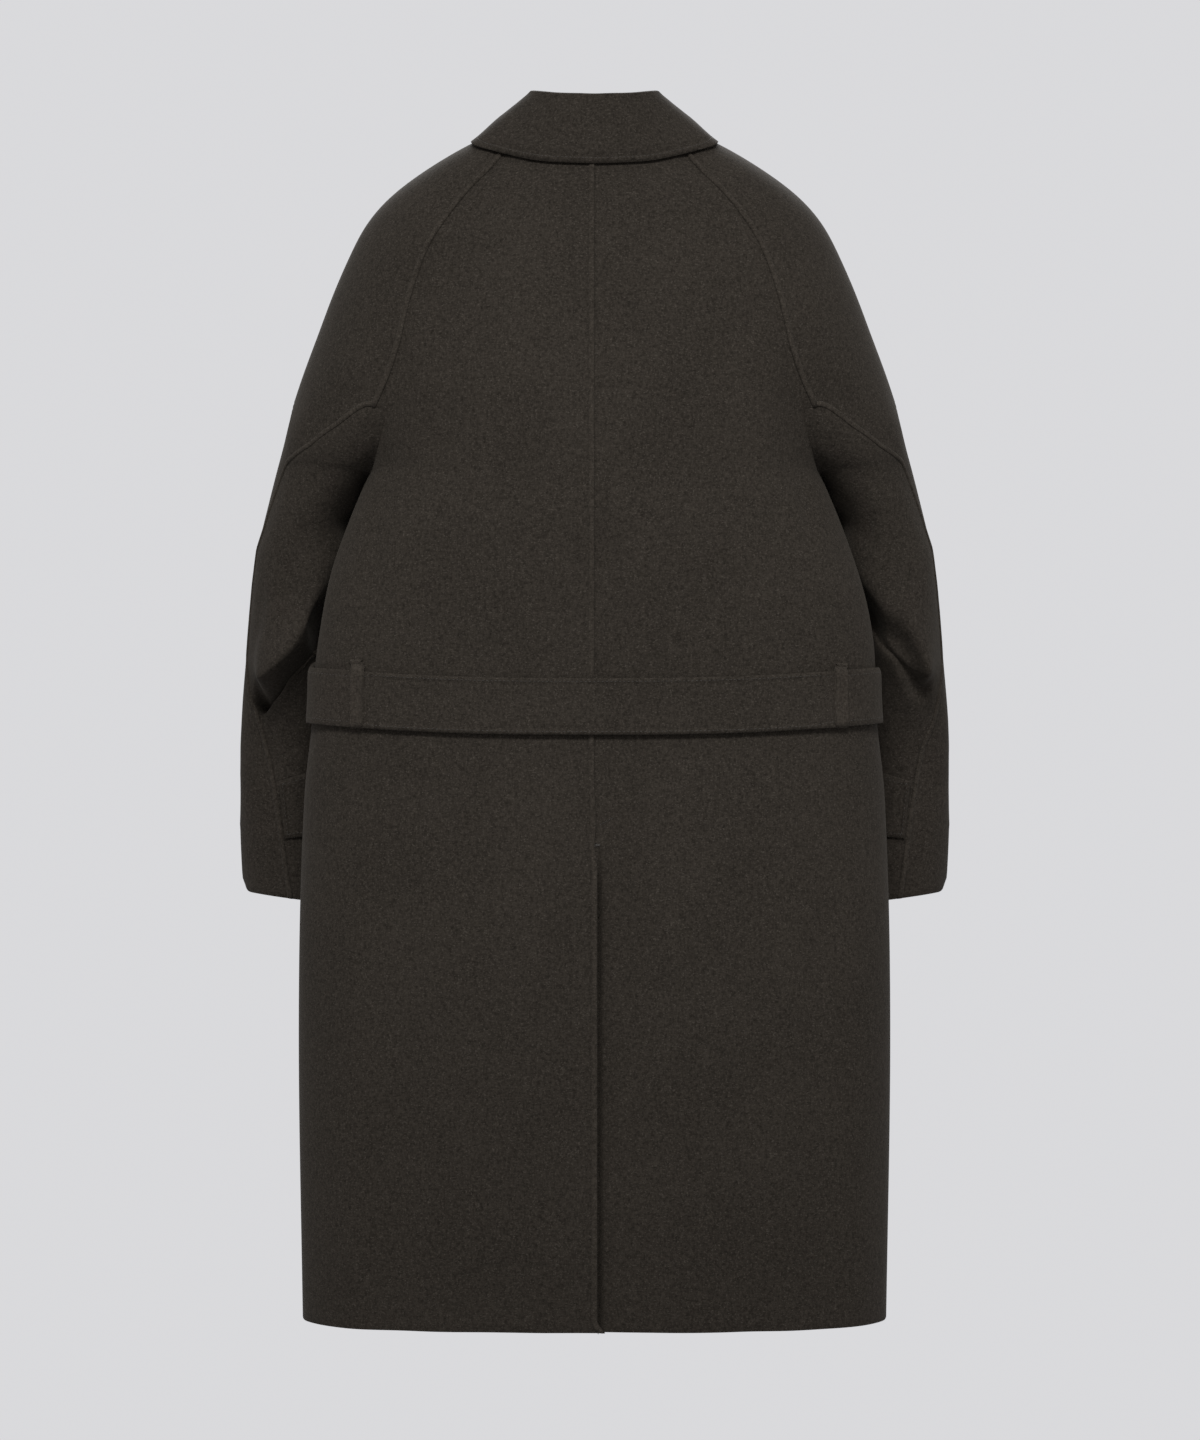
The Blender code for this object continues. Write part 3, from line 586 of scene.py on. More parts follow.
def even_out(axis, reach, rounds, levels, sign, sleeve):
    """Takes out a break in the CAD's sleeve, and moves its outer side back to where it was."""
    before = [outline(z, sign) for z in levels]
    cloth.soften(mirrored(axis, sign), reach, rounds, sleeve)
    lost = [b - outline(z, sign) for b, z in zip(before, levels)]
    x, z = cloth.places[:, 0] * sign, cloth.places[:, 2]
    back = np.interp(z, levels, lost, 0, 0)
    share = np.clip((x - SLEEVE_MIDDLE) / SLEEVE_HALF, 0, 1) ** 2 * cloth.on(sleeve)
    cloth.places[:, 0] += sign * back * share
    print("sleeve moved back out by up to", round(max(lost) * 1000, 1), "mm")


def refined(mask, cuts):
    """Divides the edges between marked points finely, and reads the points again."""
    edges = [e for e in shell.edges if mask[[v.index for v in e.verts]].all()]
    bmesh.ops.subdivide_edges(shell, edges=edges, cuts=cuts, use_grid_fill=True)
    print("edges divided", len(edges))
    return Cloth(shell)


def by_elbows():
    """Marks the points round both elbows' hollows."""
    mask = np.zeros(len(cloth.places), bool)
    for side, sign in SIDES.items():
        sleeve = sleeve_of(side)
        path = cloth.seen(ELBOWS[sign].hollow, -1, sleeve)
        mask |= (cloth.near(path)[0] < FINE_REACH) & cloth.on(sleeve) & ~cloth.border
    return mask


def tuck_elbow(sign, sleeve):
    """Pushes the hollow in, under a lip that rolls over it."""
    elbow = ELBOWS[sign]
    hollow = cloth.seen(elbow.hollow, -1, sleeve)
    lip = cloth.seen(elbow.lip, -1, sleeve)
    cloth.soften(hollow, HOLLOW_REACH, HOLLOW_ROUNDS, sleeve)
    cloth.tuck(lip, LIP_WIDTH, elbow.roll, sleeve)
    cloth.pocket(hollow, elbow.widths, elbow.move, sleeve)
    cloth.soften(hollow, SETTLE_REACH, elbow.rounds, sleeve)


def round_cuff(sign, sleeve):
    """Rounds the cuff's outer lower corner, where the hem is turned."""
    rim = cloth.places[cloth.border & cloth.on(sleeve) & (cloth.places[:, 2] < CUFF_TOP)]
    corner = Vector(rim[np.argmax(rim[:, 0] * sign)])
    line = [corner - CUFF_SPAN, corner, corner + CUFF_SPAN]
    cloth.tuck(line, CUFF_WIDTH, flipped(CUFF_MOVE, sign), sleeve)


for side, sign in SIDES.items():
    sleeve = sleeve_of(side)
    cloth.soften(mirrored(SLEEVE_TIP, sign), TIP_REACH, TIP_ROUNDS)
    cloth.nudge(flipped(ARMPIT_INNER, sign), ARMPIT_REACH, flipped(ARMPIT_MOVE, sign))
    even_out(ARM_AXIS, ARM_REACH, ARM_ROUNDS, ARM_LEVELS, sign, sleeve)
    even_out(ELBOW_AXIS, ELBOW_REACH, ELBOW_ROUNDS, ELBOW_LEVELS, sign, sleeve)
    cloth.nudge(flipped(ARM_INNER, sign), ARM_INNER_REACH, flipped(ARM_INNER_MOVE, sign), sleeve)
cloth.refresh()
cloth = refined(by_elbows(), FINE_CUTS)
for side, sign in SIDES.items():
    tuck_elbow(sign, sleeve_of(side))
    round_cuff(sign, sleeve_of(side))
cloth.refresh()

# %% [markdown]
# ## Body
# The CAD has a faint break across the back and the chest where the armholes end, which is softened. The
# edge of the vent hangs straight, with a narrow shadow gap beside it, and the belt draws the sides in.

# %% Shape the body
BODY = [name for name in PANEL_NAMES if name.startswith(("back", "front"))]
VENT_TOP = -0.646
VENT_EDGE_X = -0.0026
VENT_SIDE_X = 0.020
VENT_LIFT = 0.0015
VENT_SINK = 0.0020
VENT_GAP = 0.0018
VENT_GAP_X = -0.0036
VENT_GAP_DEPTH = 0.0080
VENT_OPENS_IN = 0.06
VENT_SHIFTS_IN = 0.02
VENT_SHARE = 0.06
VENT_FINE = 0.011
VENT_CUTS = 3
VENT_FINE_ABOVE = 0.010
VENT_TOP_SLACK = 0.002
BACK_BREAK = [(-0.20, 0.105, -0.302), (0.20, 0.105, -0.302)]
BACK_BREAK_REACH = 0.060
BACK_BREAK_ROUNDS = 90
CHEST_BREAK = [(-0.20, -0.115, -0.302), (0.20, -0.115, -0.302)]
CHEST_BREAK_REACH = 0.085
CHEST_BREAK_ROUNDS = 300
BELT_SIDE = (0.262, -0.005, -0.530)
BELT_PULL = (-0.0050, 0, 0)
WAIST_LEFT = (0.258, -0.005, -0.450)
WAIST_PULL = (-0.0065, 0, 0)
WAIST_REACH = 0.080


def cinch(sheet, panels=PANEL_NAMES):
    """The belt draws in what lies at the coat's sides."""
    for sign in (1, -1):
        sheet.nudge(flipped(BELT_SIDE, sign), WAIST_REACH, flipped(BELT_PULL, sign), panels)
    sheet.refresh()


def hang_vent():
    """Lets the edge of the vent's upper layer hang straight down, a little past the centre."""
    x, y, z = cloth.places.T
    left_back = cloth.on(["back_left"]) & (y > 0)
    by_edge = cloth.border & (np.abs(x) < VENT_SIDE_X) & (z <= VENT_TOP + VENT_TOP_SLACK)
    edge = cloth.places[left_back & by_edge]
    edge = edge[np.argsort(edge[:, 2])]
    down = np.clip((VENT_TOP - z) / VENT_OPENS_IN, 0, 1)
    over = np.clip((VENT_TOP - z) / VENT_SHIFTS_IN, 0, 1)
    lies = np.interp(z, edge[:, 2], edge[:, 0])
    share = np.clip(1 - np.abs(x - lies) / VENT_SHARE, 0, 1) ** 2 * left_back * (z < VENT_TOP)
    print("vent edge was off by", round((edge[:, 0] - VENT_EDGE_X).max() * 1000, 1), "mm")
    cloth.places[:, 0] += (VENT_EDGE_X * over - lies) * share
    beside = (x - VENT_EDGE_X) / VENT_SIDE_X
    cloth.places[:, 1] += VENT_LIFT * down * left_back * np.exp(-beside ** 2)
    right_back = cloth.on(["back_right"]) & (y > 0)
    cloth.places[:, 1] -= VENT_SINK * down * right_back * np.exp(-beside ** 2)
    gap = (x - VENT_GAP_X) / VENT_GAP
    cloth.places[:, 1] -= VENT_GAP_DEPTH * down * right_back * np.exp(-gap ** 2)


def by_vent():
    """Marks the right back's points beside the vent's edge."""
    x, y, z = cloth.places.T
    beside = (np.abs(x - VENT_EDGE_X) < VENT_FINE) & (z < VENT_TOP + VENT_FINE_ABOVE)
    return cloth.on(["back_right"]) & (y > 0) & beside


cloth.soften(BACK_BREAK, BACK_BREAK_REACH, BACK_BREAK_ROUNDS, BODY)
cloth.soften(CHEST_BREAK, CHEST_BREAK_REACH, CHEST_BREAK_ROUNDS, BODY)
cloth.refresh()
cloth = refined(by_vent(), VENT_CUTS)
hang_vent()
cloth.nudge(WAIST_LEFT, WAIST_REACH, WAIST_PULL, BODY)
cinch(cloth, BODY)

# %% [markdown]
# ## Creases
# Heavy wool falls in long shallow waves, not in sharp creases. Each row of the table is one wave: its
# path across the coat as (x, z), its half width and its depth. A depth below 0 is a ridge.
# The back's waves follow the photo and the front has similar ones. A wave of the skirt grows towards the
# hem and stays open there. The right sleeve has three of the left one's waves, higher up and flatter.

# %% Fold the cloth
Wave = namedtuple("Wave", "path width depth")
BACK_WAVES = [
    Wave([(0.126, -0.050), (0.134, -0.150), (0.136, -0.250), (0.139, -0.360)], 0.019, 0.0036),
    Wave([(0.062, -0.170), (0.066, -0.260), (0.060, -0.350)], 0.030, -0.0022),
    Wave([(-0.117, -0.075), (-0.122, -0.160), (-0.120, -0.250)], 0.018, 0.0030),
    Wave([(-0.158, -0.165), (-0.154, -0.260), (-0.150, -0.345)], 0.016, -0.0024),
    Wave([(-0.052, -0.140), (-0.060, -0.230), (-0.055, -0.310)], 0.024, -0.0016),
    Wave([(0.186, -0.285), (0.196, -0.360), (0.200, -0.440)], 0.013, 0.0026),
    Wave([(-0.184, -0.290), (-0.193, -0.350), (-0.196, -0.410)], 0.012, 0.0022),
    Wave([(0.104, -0.390), (0.111, -0.450), (0.108, -0.505)], 0.015, 0.0019),
    Wave([(0.020, -0.420), (0.024, -0.470), (0.021, -0.507)], 0.012, 0.0011),
    Wave([(-0.083, -0.400), (-0.090, -0.455), (-0.087, -0.505)], 0.016, 0.0017),
    Wave([(-0.160, -0.430), (-0.166, -0.470), (-0.163, -0.507)], 0.011, 0.0015),
]
BACK_SKIRT_WAVES = [
    Wave([(0.168, -0.570), (0.172, -0.760), (0.170, -0.930), (0.172, -1.076)], 0.024, 0.0036),
    Wave([(0.212, -0.575), (0.216, -0.760), (0.214, -1.076)], 0.020, -0.0024),
    Wave([(0.092, -0.575), (0.094, -0.800), (0.099, -1.076)], 0.028, 0.0026),
    Wave([(0.036, -0.590), (0.040, -0.820), (0.043, -1.076)], 0.020, -0.0020),
    Wave([(-0.064, -0.580), (-0.069, -0.820), (-0.076, -1.076)], 0.026, -0.0024),
    Wave([(-0.128, -0.575), (-0.134, -0.800), (-0.139, -1.076)], 0.024, 0.0034),
    Wave([(-0.196, -0.575), (-0.199, -0.820), (-0.203, -1.076)], 0.022, 0.0022),
]
FRONT_WAVES = [
    Wave([(0.120, -0.120), (0.138, -0.210), (0.146, -0.310)], 0.020, 0.0034),
    Wave([(-0.112, -0.115), (-0.131, -0.205), (-0.139, -0.300)], 0.018, 0.0030),
    Wave([(0.178, -0.290), (0.186, -0.370), (0.184, -0.450)], 0.014, 0.0028),
    Wave([(-0.176, -0.285), (-0.187, -0.360), (-0.186, -0.435)], 0.013, 0.0024),
    Wave([(0.098, -0.395), (0.104, -0.450), (0.101, -0.505)], 0.015, 0.0020),
    Wave([(-0.104, -0.405), (-0.112, -0.460), (-0.108, -0.507)], 0.014, 0.0018),
]
FRONT_SKIRT_WAVES = [
    Wave([(0.150, -0.575), (0.155, -0.800), (0.161, -1.076)], 0.026, 0.0034),
    Wave([(0.096, -0.580), (0.099, -0.810), (0.104, -1.076)], 0.022, -0.0020),
    Wave([(-0.118, -0.575), (-0.124, -0.800), (-0.130, -1.076)], 0.027, 0.0030),
    Wave([(-0.190, -0.580), (-0.194, -0.820), (-0.198, -1.076)], 0.021, 0.0022),
]
SLEEVE_WAVES = [
    Wave([(0.300, -0.395), (0.308, -0.440), (0.316, -0.486)], 0.012, 0.0024),
    Wave([(0.262, -0.352), (0.276, -0.396), (0.292, -0.432)], 0.013, 0.0020),
    Wave([(0.296, -0.548), (0.306, -0.585), (0.312, -0.625)], 0.014, 0.0018),
    Wave([(0.252, -0.235), (0.270, -0.280), (0.284, -0.335)], 0.017, -0.0016),
]
RIGHT_RISE = 0.014
RIGHT_WIDER = 1.15
RIGHT_FLATTER = 0.85
GROUPS = (
    (BACK_WAVES, -1, False), (BACK_SKIRT_WAVES, -1, True), (FRONT_WAVES, 1, False),
    (FRONT_SKIRT_WAVES, 1, True), (SLEEVE_WAVES, -1, False), (SLEEVE_WAVES, 1, False),
)
for waves, towards, open_end in GROUPS:
    for wave in waves:
        cloth.fold(cloth.seen(wave.path, towards), wave.width, wave.depth, open_end)
for wave in SLEEVE_WAVES[1:]:
    path = [(-x, z + RIGHT_RISE) for x, z in wave.path]
    cloth.fold(cloth.seen(path, -1), wave.width * RIGHT_WIDER, wave.depth * RIGHT_FLATTER)
cloth.refresh()
print("waves", sum(len(waves) for waves, _, _ in GROUPS) + len(SLEEVE_WAVES[1:]))

# %% [markdown]
# ## Cutting the panels apart
# The finished shell is cut at its seams into the pieces that a tailor cuts. Each becomes an object of
# its own. Solidify gives it the cloth's thickness inwards, and a small bevel rounds its edges, so that a
# seam shows as a fine groove between two soft edges.


def add_piece(name, bm, material, wall=None, soft_edge=0.0014):
    """Links a bmesh as a piece that rides on the coat. wall gives it a thickness inwards."""
    if wall:
        weight = bm.edges.layers.float.new("bevel_weight_edge")
        for edge in bm.edges:
            edge[weight] = 1.0 if edge.is_boundary else 0.0
    mesh = loose_mesh(bm, name)
    mesh.materials.clear()
    mesh.materials.append(material)
    mesh.shade_smooth()
    obj = bpy.data.objects.new(name, mesh)
    bpy.context.scene.collection.objects.link(obj)
    if wall:
        thick = obj.modifiers.new("thickness", "SOLIDIFY")
        thick.thickness = wall
        thick.offset = -1
        thick.use_quality_normals = True
        edge = obj.modifiers.new("soft_edge", "BEVEL")
        edge.width = soft_edge
        edge.segments = 2
        edge.limit_method = "WEIGHT"
        edge.use_clamp_overlap = True
    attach(obj, "root")
    return obj


def cut_panel(number):
    panel = shell.copy()
    others = [f for f in panel.faces if f.material_index != number]
    bmesh.ops.delete(panel, geom=others, context="FACES")
    for face in panel.faces:
        face.material_index = 0
    return panel


for number, name in enumerate(PANEL_NAMES):
    piece = add_piece("cloth_" + name, cut_panel(number), wool, wall=CLOTH)
    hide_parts(*PANELS[name])

# %% [markdown]
# ## Walking along edges
# Stitches, ridges and rolled edges all follow a seam or an edge. Two helpers turn loose edges into runs
# of points, and a run into points at even steps.

# %% Runs of points


def chains(edges):
    """Runs of points along edges, each from one end to the other."""
    links = {}
    for edge in edges:
        a, b = edge.verts
        links.setdefault(a, []).append(b)
        links.setdefault(b, []).append(a)
    runs = []
    unseen = dict.fromkeys(sorted(links, key=lambda v: (len(links[v]) == 2, v.index)))
    while unseen:
        run = [next(iter(unseen))]
        del unseen[run[0]]
        while True:
            ahead = [v for v in links[run[-1]] if v in unseen]
            if not ahead:
                break
            run.append(ahead[0])
            del unseen[ahead[0]]
        if len(run) > 1:
            runs.append([v.co.copy() for v in run])
    return runs


def even_steps(run, step):
    """Points at even distances along a run."""
    places = np.array([tuple(p) for p in run])
    lengths = np.concatenate([[0], np.cumsum(np.linalg.norm(np.diff(places, axis=0), axis=1))])
    count = max(2, round(lengths[-1] / step))
    at = np.linspace(0, lengths[-1], count + 1)
    return [Vector([np.interp(a, lengths, places[:, k]) for k in range(3)]) for a in at]


# %% [markdown]
# ## Collar, belt, loops and tabs
# These are sewn on over the panels and are two layers of cloth turned together. They take the same path:
# the CAD wall's outer side, smoothed, with a thickness and a rounder edge. Each turned edge swells up to
# its row of stitches, which lies in a groove. The loops stand a little off the belt.

# %% Trimmings
Trimming = namedtuple("Trimming", "wall levels rounds stitched_in swell groove groove_width")
COLLAR_CLOTH = 0.0026
LOOP_TRIM = Trimming(LOOP_CLOTH, 4, 6, 0.0030, 0.0005, 0.0004, 0.0010)
TAB_TRIM = Trimming(CLOTH, 4, 6, 0.0052, 0.0006, 0.0005, 0.0014)
TRIMMINGS = {
    "collar": Trimming(COLLAR_CLOTH, 3, 1, 0.0068, 0.0012, 0.0019, 0.0016),
    "belt": Trimming(DOUBLE_CLOTH, 4, 6, 0.0052, 0.0006, 0.0005, 0.0014),
    "belt_loop_left": LOOP_TRIM,
    "belt_loop_right": LOOP_TRIM,
    "cuff_tab_left": TAB_TRIM,
    "cuff_tab_right": TAB_TRIM,
}
CAD_WALL = {"collar": DOUBLE_CLOTH}
COLLAR_LIES_ON = 0.030
NECK_SEAM = 0.085
COLLAR_PEAK = (0.058, 0.000, 0.036)
PEAK_REACH = 0.022
PEAK_ROUNDS = 45
COLLAR_TOP = (0.0585, 0.0065, 0.0415)
COLLAR_TOP_MOVE = (-0.0012, 0, -0.0016)
COLLAR_TOP_REACH = 0.014
COLLAR_END = (0.118, 0.000, -0.004)
COLLAR_END_MOVE = (-0.0030, 0, -0.0030)
COLLAR_END_REACH = 0.040
COLLAR_SEAM_DEPTH = 0.0005
COLLAR_SEAM_WIDTH = 0.0018
COLLAR_SEAM_TOP = 0.030
COLLAR_SEAM_FADE = 0.015
BELT_CURL = 0.0048
BELT_CURL_WIDTH = 0.007
BELT_BENDS_FROM = 0.20
BELT_BENDS_IN = 0.05
BELT_LIFT = (0, 0, 0.0055)
BELT_LIFT_REACH = 0.055
EDGE_TURN = 1.8
EDGE_STEP = 0.001
CALM_WIDTH = 0.02
SOFT_EDGE_SHARE = 0.38
LOOP_SHARE = 0.84
LOOP_LIFT = 0.0022
LOOP_END = 0.008
LOOP_END_SHARE = 0.4
CALM_SIDES = {"collar": 0.108, "belt": 0.215}
SHEETS = {}
SHEET_RUNS = {}


def stitched_runs(name, bm):
    """The edges of a trimming that are stitched: all of them, but on the collar only its leaf's."""
    edges = [e for e in bm.edges if e.is_boundary]
    if name == "collar":
        middles = {e: (e.verts[0].co + e.verts[1].co) / 2 for e in edges}
        edges = [
            e for e, p in middles.items()
            if p.length > NECK_SEAM and cloth.tree.find_nearest(p)[3] < COLLAR_LIES_ON
        ]
    return chains(edges)


def roll_edge(bm, runs, trim, calm=math.inf):
    """Swells the cloth between an edge and its row of stitches, and presses a groove along the row.

    Past calm on either side of the coat the edge stays plain, because there it is seen end on.
    """
    points = [p for run in runs for p in even_steps(run, EDGE_STEP)]
    finder = KDTree(len(points))
    for n, point in enumerate(points):
        finder.insert(point, n)
    finder.balance()
    bm.normal_update()
    moves = []
    for v in bm.verts:
        far = finder.find(v.co)[2]
        puff = trim.swell * math.sin(math.pi * min(far / trim.stitched_in, 1))
        dip = trim.groove * math.exp(-((far - trim.stitched_in) / trim.groove_width) ** 2)
        turn = EDGE_TURN * trim.swell * math.exp(-((far / trim.groove_width) ** 2))
        plain = min(max((calm - abs(v.co.x)) / CALM_WIDTH, 0), 1)
        moves.append(v.normal * (puff - dip - turn) * plain)
    for v, move in zip(bm.verts, moves):
        v.co += move


def round_collar(bm):
    """Rounds the two peaks of the collar's fold, and presses in its centre back seam."""
    for sign in (1, -1):
        peak = Vector(flipped(COLLAR_PEAK, sign))
        close = [v for v in bm.verts if (v.co - peak).length < PEAK_REACH]
        for _ in range(PEAK_ROUNDS):
            bmesh.ops.smooth_vert(
                bm, verts=close, factor=0.5, use_axis_x=True, use_axis_y=True, use_axis_z=True,
            )
    bm.normal_update()
    for v in bm.verts:
        if v.co.y > 0:
            below = min(max((COLLAR_SEAM_TOP - v.co.z) / COLLAR_SEAM_FADE, 0), 1)
            press = COLLAR_SEAM_DEPTH * below * math.exp(-(v.co.x / COLLAR_SEAM_WIDTH) ** 2)
            v.co -= v.normal * press
    leaf = Cloth(bm)
    for sign in (1, -1):
        leaf.nudge(flipped(COLLAR_TOP, sign), COLLAR_TOP_REACH, flipped(COLLAR_TOP_MOVE, sign))
        leaf.nudge(flipped(COLLAR_END, sign), COLLAR_END_REACH, flipped(COLLAR_END_MOVE, sign))
    leaf.refresh()


def curl_belt(bm):
    """Rounds the belt's edges where it bends round the coat's sides, and lifts its left end's top."""
    low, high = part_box("belt")
    sheet = Cloth(bm)
    x, y, z = sheet.places.T
    far = np.minimum(z - low[2], high[2] - z)
    side = np.clip((np.abs(x) - BELT_BENDS_FROM) / BELT_BENDS_IN, 0, 1)
    curl = BELT_CURL * side * np.exp(-(far / BELT_CURL_WIDTH) ** 2)
    sheet.places -= sheet.normals * curl[:, None]
    sheet.nudge((BELT_SIDE[0], BELT_SIDE[1], high[2]), BELT_LIFT_REACH, BELT_LIFT)
    cinch(sheet)


def shorten_loop(bm):
    """Ends a loop just above and below the belt, and lifts its middle off the belt."""
    heights = [v.co.z for v in bm.verts]
    middle = (min(heights) + max(heights)) / 2
    about = Matrix.Translation((0, 0, -middle))
    bmesh.ops.scale(bm, verts=bm.verts, vec=(1, 1, LOOP_SHARE), space=about)
    loop = Cloth(bm)
    z = loop.places[:, 2]
    inside = np.clip(np.minimum(z - z.min(), z.max() - z) / LOOP_END, LOOP_END_SHARE, 1)
    loop.places += np.outer(inside * LOOP_LIFT, loop.normals.mean(axis=0))
    loop.refresh()


for name, trim in TRIMMINGS.items():
    coarse = outer_sheet(name, CAD_WALL.get(name, trim.wall))
    fine = smooth_through(coarse, name + "_sheet", trim.levels, trim.rounds)
    if name == "collar":
        round_collar(fine)
    elif name == "belt":
        curl_belt(fine)
    elif name.startswith("belt"):
        shorten_loop(fine)
    SHEET_RUNS[name] = stitched_runs(name, fine)
    roll_edge(fine, SHEET_RUNS[name], trim, CALM_SIDES.get(name, math.inf))
    SHEETS[name] = fine.copy()
    # The loops take the wool painted lighter, a painted highlight; the other trimmings take the plain
    # wool.
    finish = painted_highlight_wool if "loop" in name else wool
    soft_edge = trim.wall * SOFT_EDGE_SHARE
    piece = add_piece("cloth_" + name, fine, finish, wall=trim.wall, soft_edge=soft_edge)
    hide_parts(name)

# %% [markdown]
# ## Seam lines
# A raglan coat is sewn with welt seams: the seam allowance is pressed to one side and stitched down from
# outside, which leaves a soft ridge beside the seam. The ridges follow the seams of the sewn shell, so
# the first step is to walk along each seam and note, at even steps, the point, the way ahead, the
# cloth's normal and the way towards the ridge's side.

# %% Walk along seams
STATION_STEP = 0.004
SIDE_PROBE = 0.004


def stations(run, tree, step=STATION_STEP):
    """Point, way ahead, normal and way into the sheet, at even steps along an edge of the sheet."""
    points = even_steps(run, step)
    found = []
    for n, point in enumerate(points):
        ahead = (points[min(n + 1, len(points) - 1)] - points[max(n - 1, 0)]).normalized()
        normal = tree.find_nearest(point)[1]
        side = normal.cross(ahead).normalized()
        inner = tree.find_nearest(point + side * SIDE_PROBE)[3]
        outer = tree.find_nearest(point - side * SIDE_PROBE)[3]
        found.append([point, ahead, normal, side, outer - inner])
    if sum(row[4] for row in found) < 0:
        for row in found:
            row[3] = -row[3]
    return [row[:4] for row in found]


# %% [markdown]
# ## Ridges and stitches
# A ridge is one small closed profile, extruded from step to step along the seam, with its underside sunk
# in the cloth. A stitch is a short thread that dips into the cloth at both ends, so a small stretched
# ball is enough for each of the many hundred.

# %% Ridges and stitches
RIDGE = [
    (-0.0004, -0.0010), (-0.0002, 0.0005), (0.0005, 0.0014), (0.0018, 0.0019),
    (0.0036, 0.0018), (0.0049, 0.0010), (0.0057, -0.0001), (0.0059, -0.0010),
]
RIDGE_WIDTH = 0.0055
STITCH_PITCH = 0.0038
STITCH_LENGTH = 0.0027
STITCH_WIDTH = 0.0006


def on_sheet(tree, station, inwards, height):
    """A point beside a seam, laid on the sheet and raised."""
    point, _, _, side = station
    place, out, _, _ = tree.find_nearest(point + side * inwards)
    return place + out * height


def gather(total, bm):
    """Adds a finished small bmesh to a larger one. Operators are quick only while a bmesh is small."""
    mesh = loose_mesh(bm, "part")
    total.from_mesh(mesh)
    bpy.data.meshes.remove(mesh)


def sweep(rings):
    """A closed tube through rings of points."""
    bm = bmesh.new()
    count = len(rings[0])
    verts = [bm.verts.new(p) for p in rings[0]]
    edges = [bm.edges.new((verts[k], verts[(k + 1) % count])) for k in range(count)]
    for ring in rings[1:]:
        geom = bmesh.ops.extrude_edge_only(bm, edges=edges)["geom"]
        made = {v for v in geom if isinstance(v, bmesh.types.BMVert)}
        ahead = []
        for v in verts:
            ahead.append(next(e.other_vert(v) for e in v.link_edges if e.other_vert(v) in made))
        for v, place in zip(ahead, ring):
            v.co = place
        verts = ahead
        edges = [bm.edges.get((verts[k], verts[(k + 1) % count])) for k in range(count)]
    bmesh.ops.holes_fill(bm, edges=[e for e in bm.edges if e.is_boundary], sides=0)
    bmesh.ops.recalc_face_normals(bm, faces=bm.faces)
    return bm


def ridge_along(total, run, tree, width=RIDGE_WIDTH, rise=1.0):
    """A soft ridge on the sheet beside a seam or an edge."""
    wide = width / RIDGE_WIDTH
    rings = []
    for station in stations(run, tree):
        ring = [(d * wide, h * (rise if h > 0 else 1)) for d, h in RIDGE]
        rings.append([on_sheet(tree, station, inwards, height) for inwards, height in ring])
    gather(total, sweep(rings))


def stitch_mesh():
    """One stitch along +Z, one unit long each way."""
    bm = bmesh.new()
    bmesh.ops.create_uvsphere(bm, u_segments=5, v_segments=3, radius=1.0)
    return loose_mesh(bm, "stitch")


def stitches_along(total, run, tree, inwards, lift=0.0001, pitch=STITCH_PITCH):
    """A row of stitches on the sheet beside a seam or an edge."""
    one = stitch_mesh()
    for station in stations(run, tree, pitch)[1:-1]:
        _, ahead, normal, _ = station
        place = on_sheet(tree, station, inwards, lift)
        across = normal.cross(ahead).normalized()
        half_width, half_length = STITCH_WIDTH / 2, STITCH_LENGTH / 2
        turn = Matrix((across * half_width, normal * half_width, ahead * half_length))
        there = Matrix.Translation(place) @ turn.transposed().to_4x4()
        one.transform(there)
        total.from_mesh(one)
        one.transform(there.inverted())
    bpy.data.meshes.remove(one)


# %% [markdown]
# ## Thread
# The seams are stitched with a matching thread, a little smoother than the wool. A fine noise stands for
# its twist.

# %% Thread
THREAD_DARK = (0.013, 0.011, 0.0087, 1)
THREAD_LIGHT = (0.029, 0.0245, 0.0195, 1)
TWIST_SCALE = 1500


def make_thread():
    material, start, shader, place = new_material("thread_brown")
    twist = start.noise(place, TWIST_SCALE, 2)
    plug(start, shader, "Base Color", start.blend(twist, THREAD_DARK, THREAD_LIGHT))
    plug(start, shader, "Roughness", 0.85 - twist * 0.25)
    return material


thread = make_thread()

# %% [markdown]
# ## Sewing the panels' seams
# The raglan seams carry their ridge on the sleeve's side, the hind seams on the topsleeve's side and the
# centre back on the left back. The centre back's ridge runs on down the edge of the vent to the hem. On
# the back, the raglan ridge ends at the undersleeve's tip, because the rest lies in the fold under the
# arm. A slanting row of stitches holds the vent's underlap, and a small bar tack closes the vent's top.

# %% Panel seams


def sort_edges():
    """The shell's seam edges by their two panels, and its open edges by their panel."""
    seams, borders = {}, {}
    for edge in shell.edges:
        numbers = {f.material_index for f in edge.link_faces}
        if len(numbers) == 2:
            seams.setdefault(frozenset(PANEL_NAMES[n] for n in numbers), []).append(edge)
        elif edge.is_boundary:
            borders.setdefault(PANEL_NAMES[numbers.pop()], []).append(edge)
    return seams, borders


SEAM_EDGES, OPEN_EDGES = sort_edges()


def seam_runs(first, second):
    """Runs of edges between one panel and a group of panels."""
    return chains([e for other in second for e in SEAM_EDGES.get(frozenset((first, other)), [])])


def open_run(panel, inside):
    """The longest run of a panel's open edges whose middle points are inside a test."""
    found = [e for e in OPEN_EDGES[panel] if inside((e.verts[0].co + e.verts[1].co) / 2)]
    return max(chains(found), key=len)


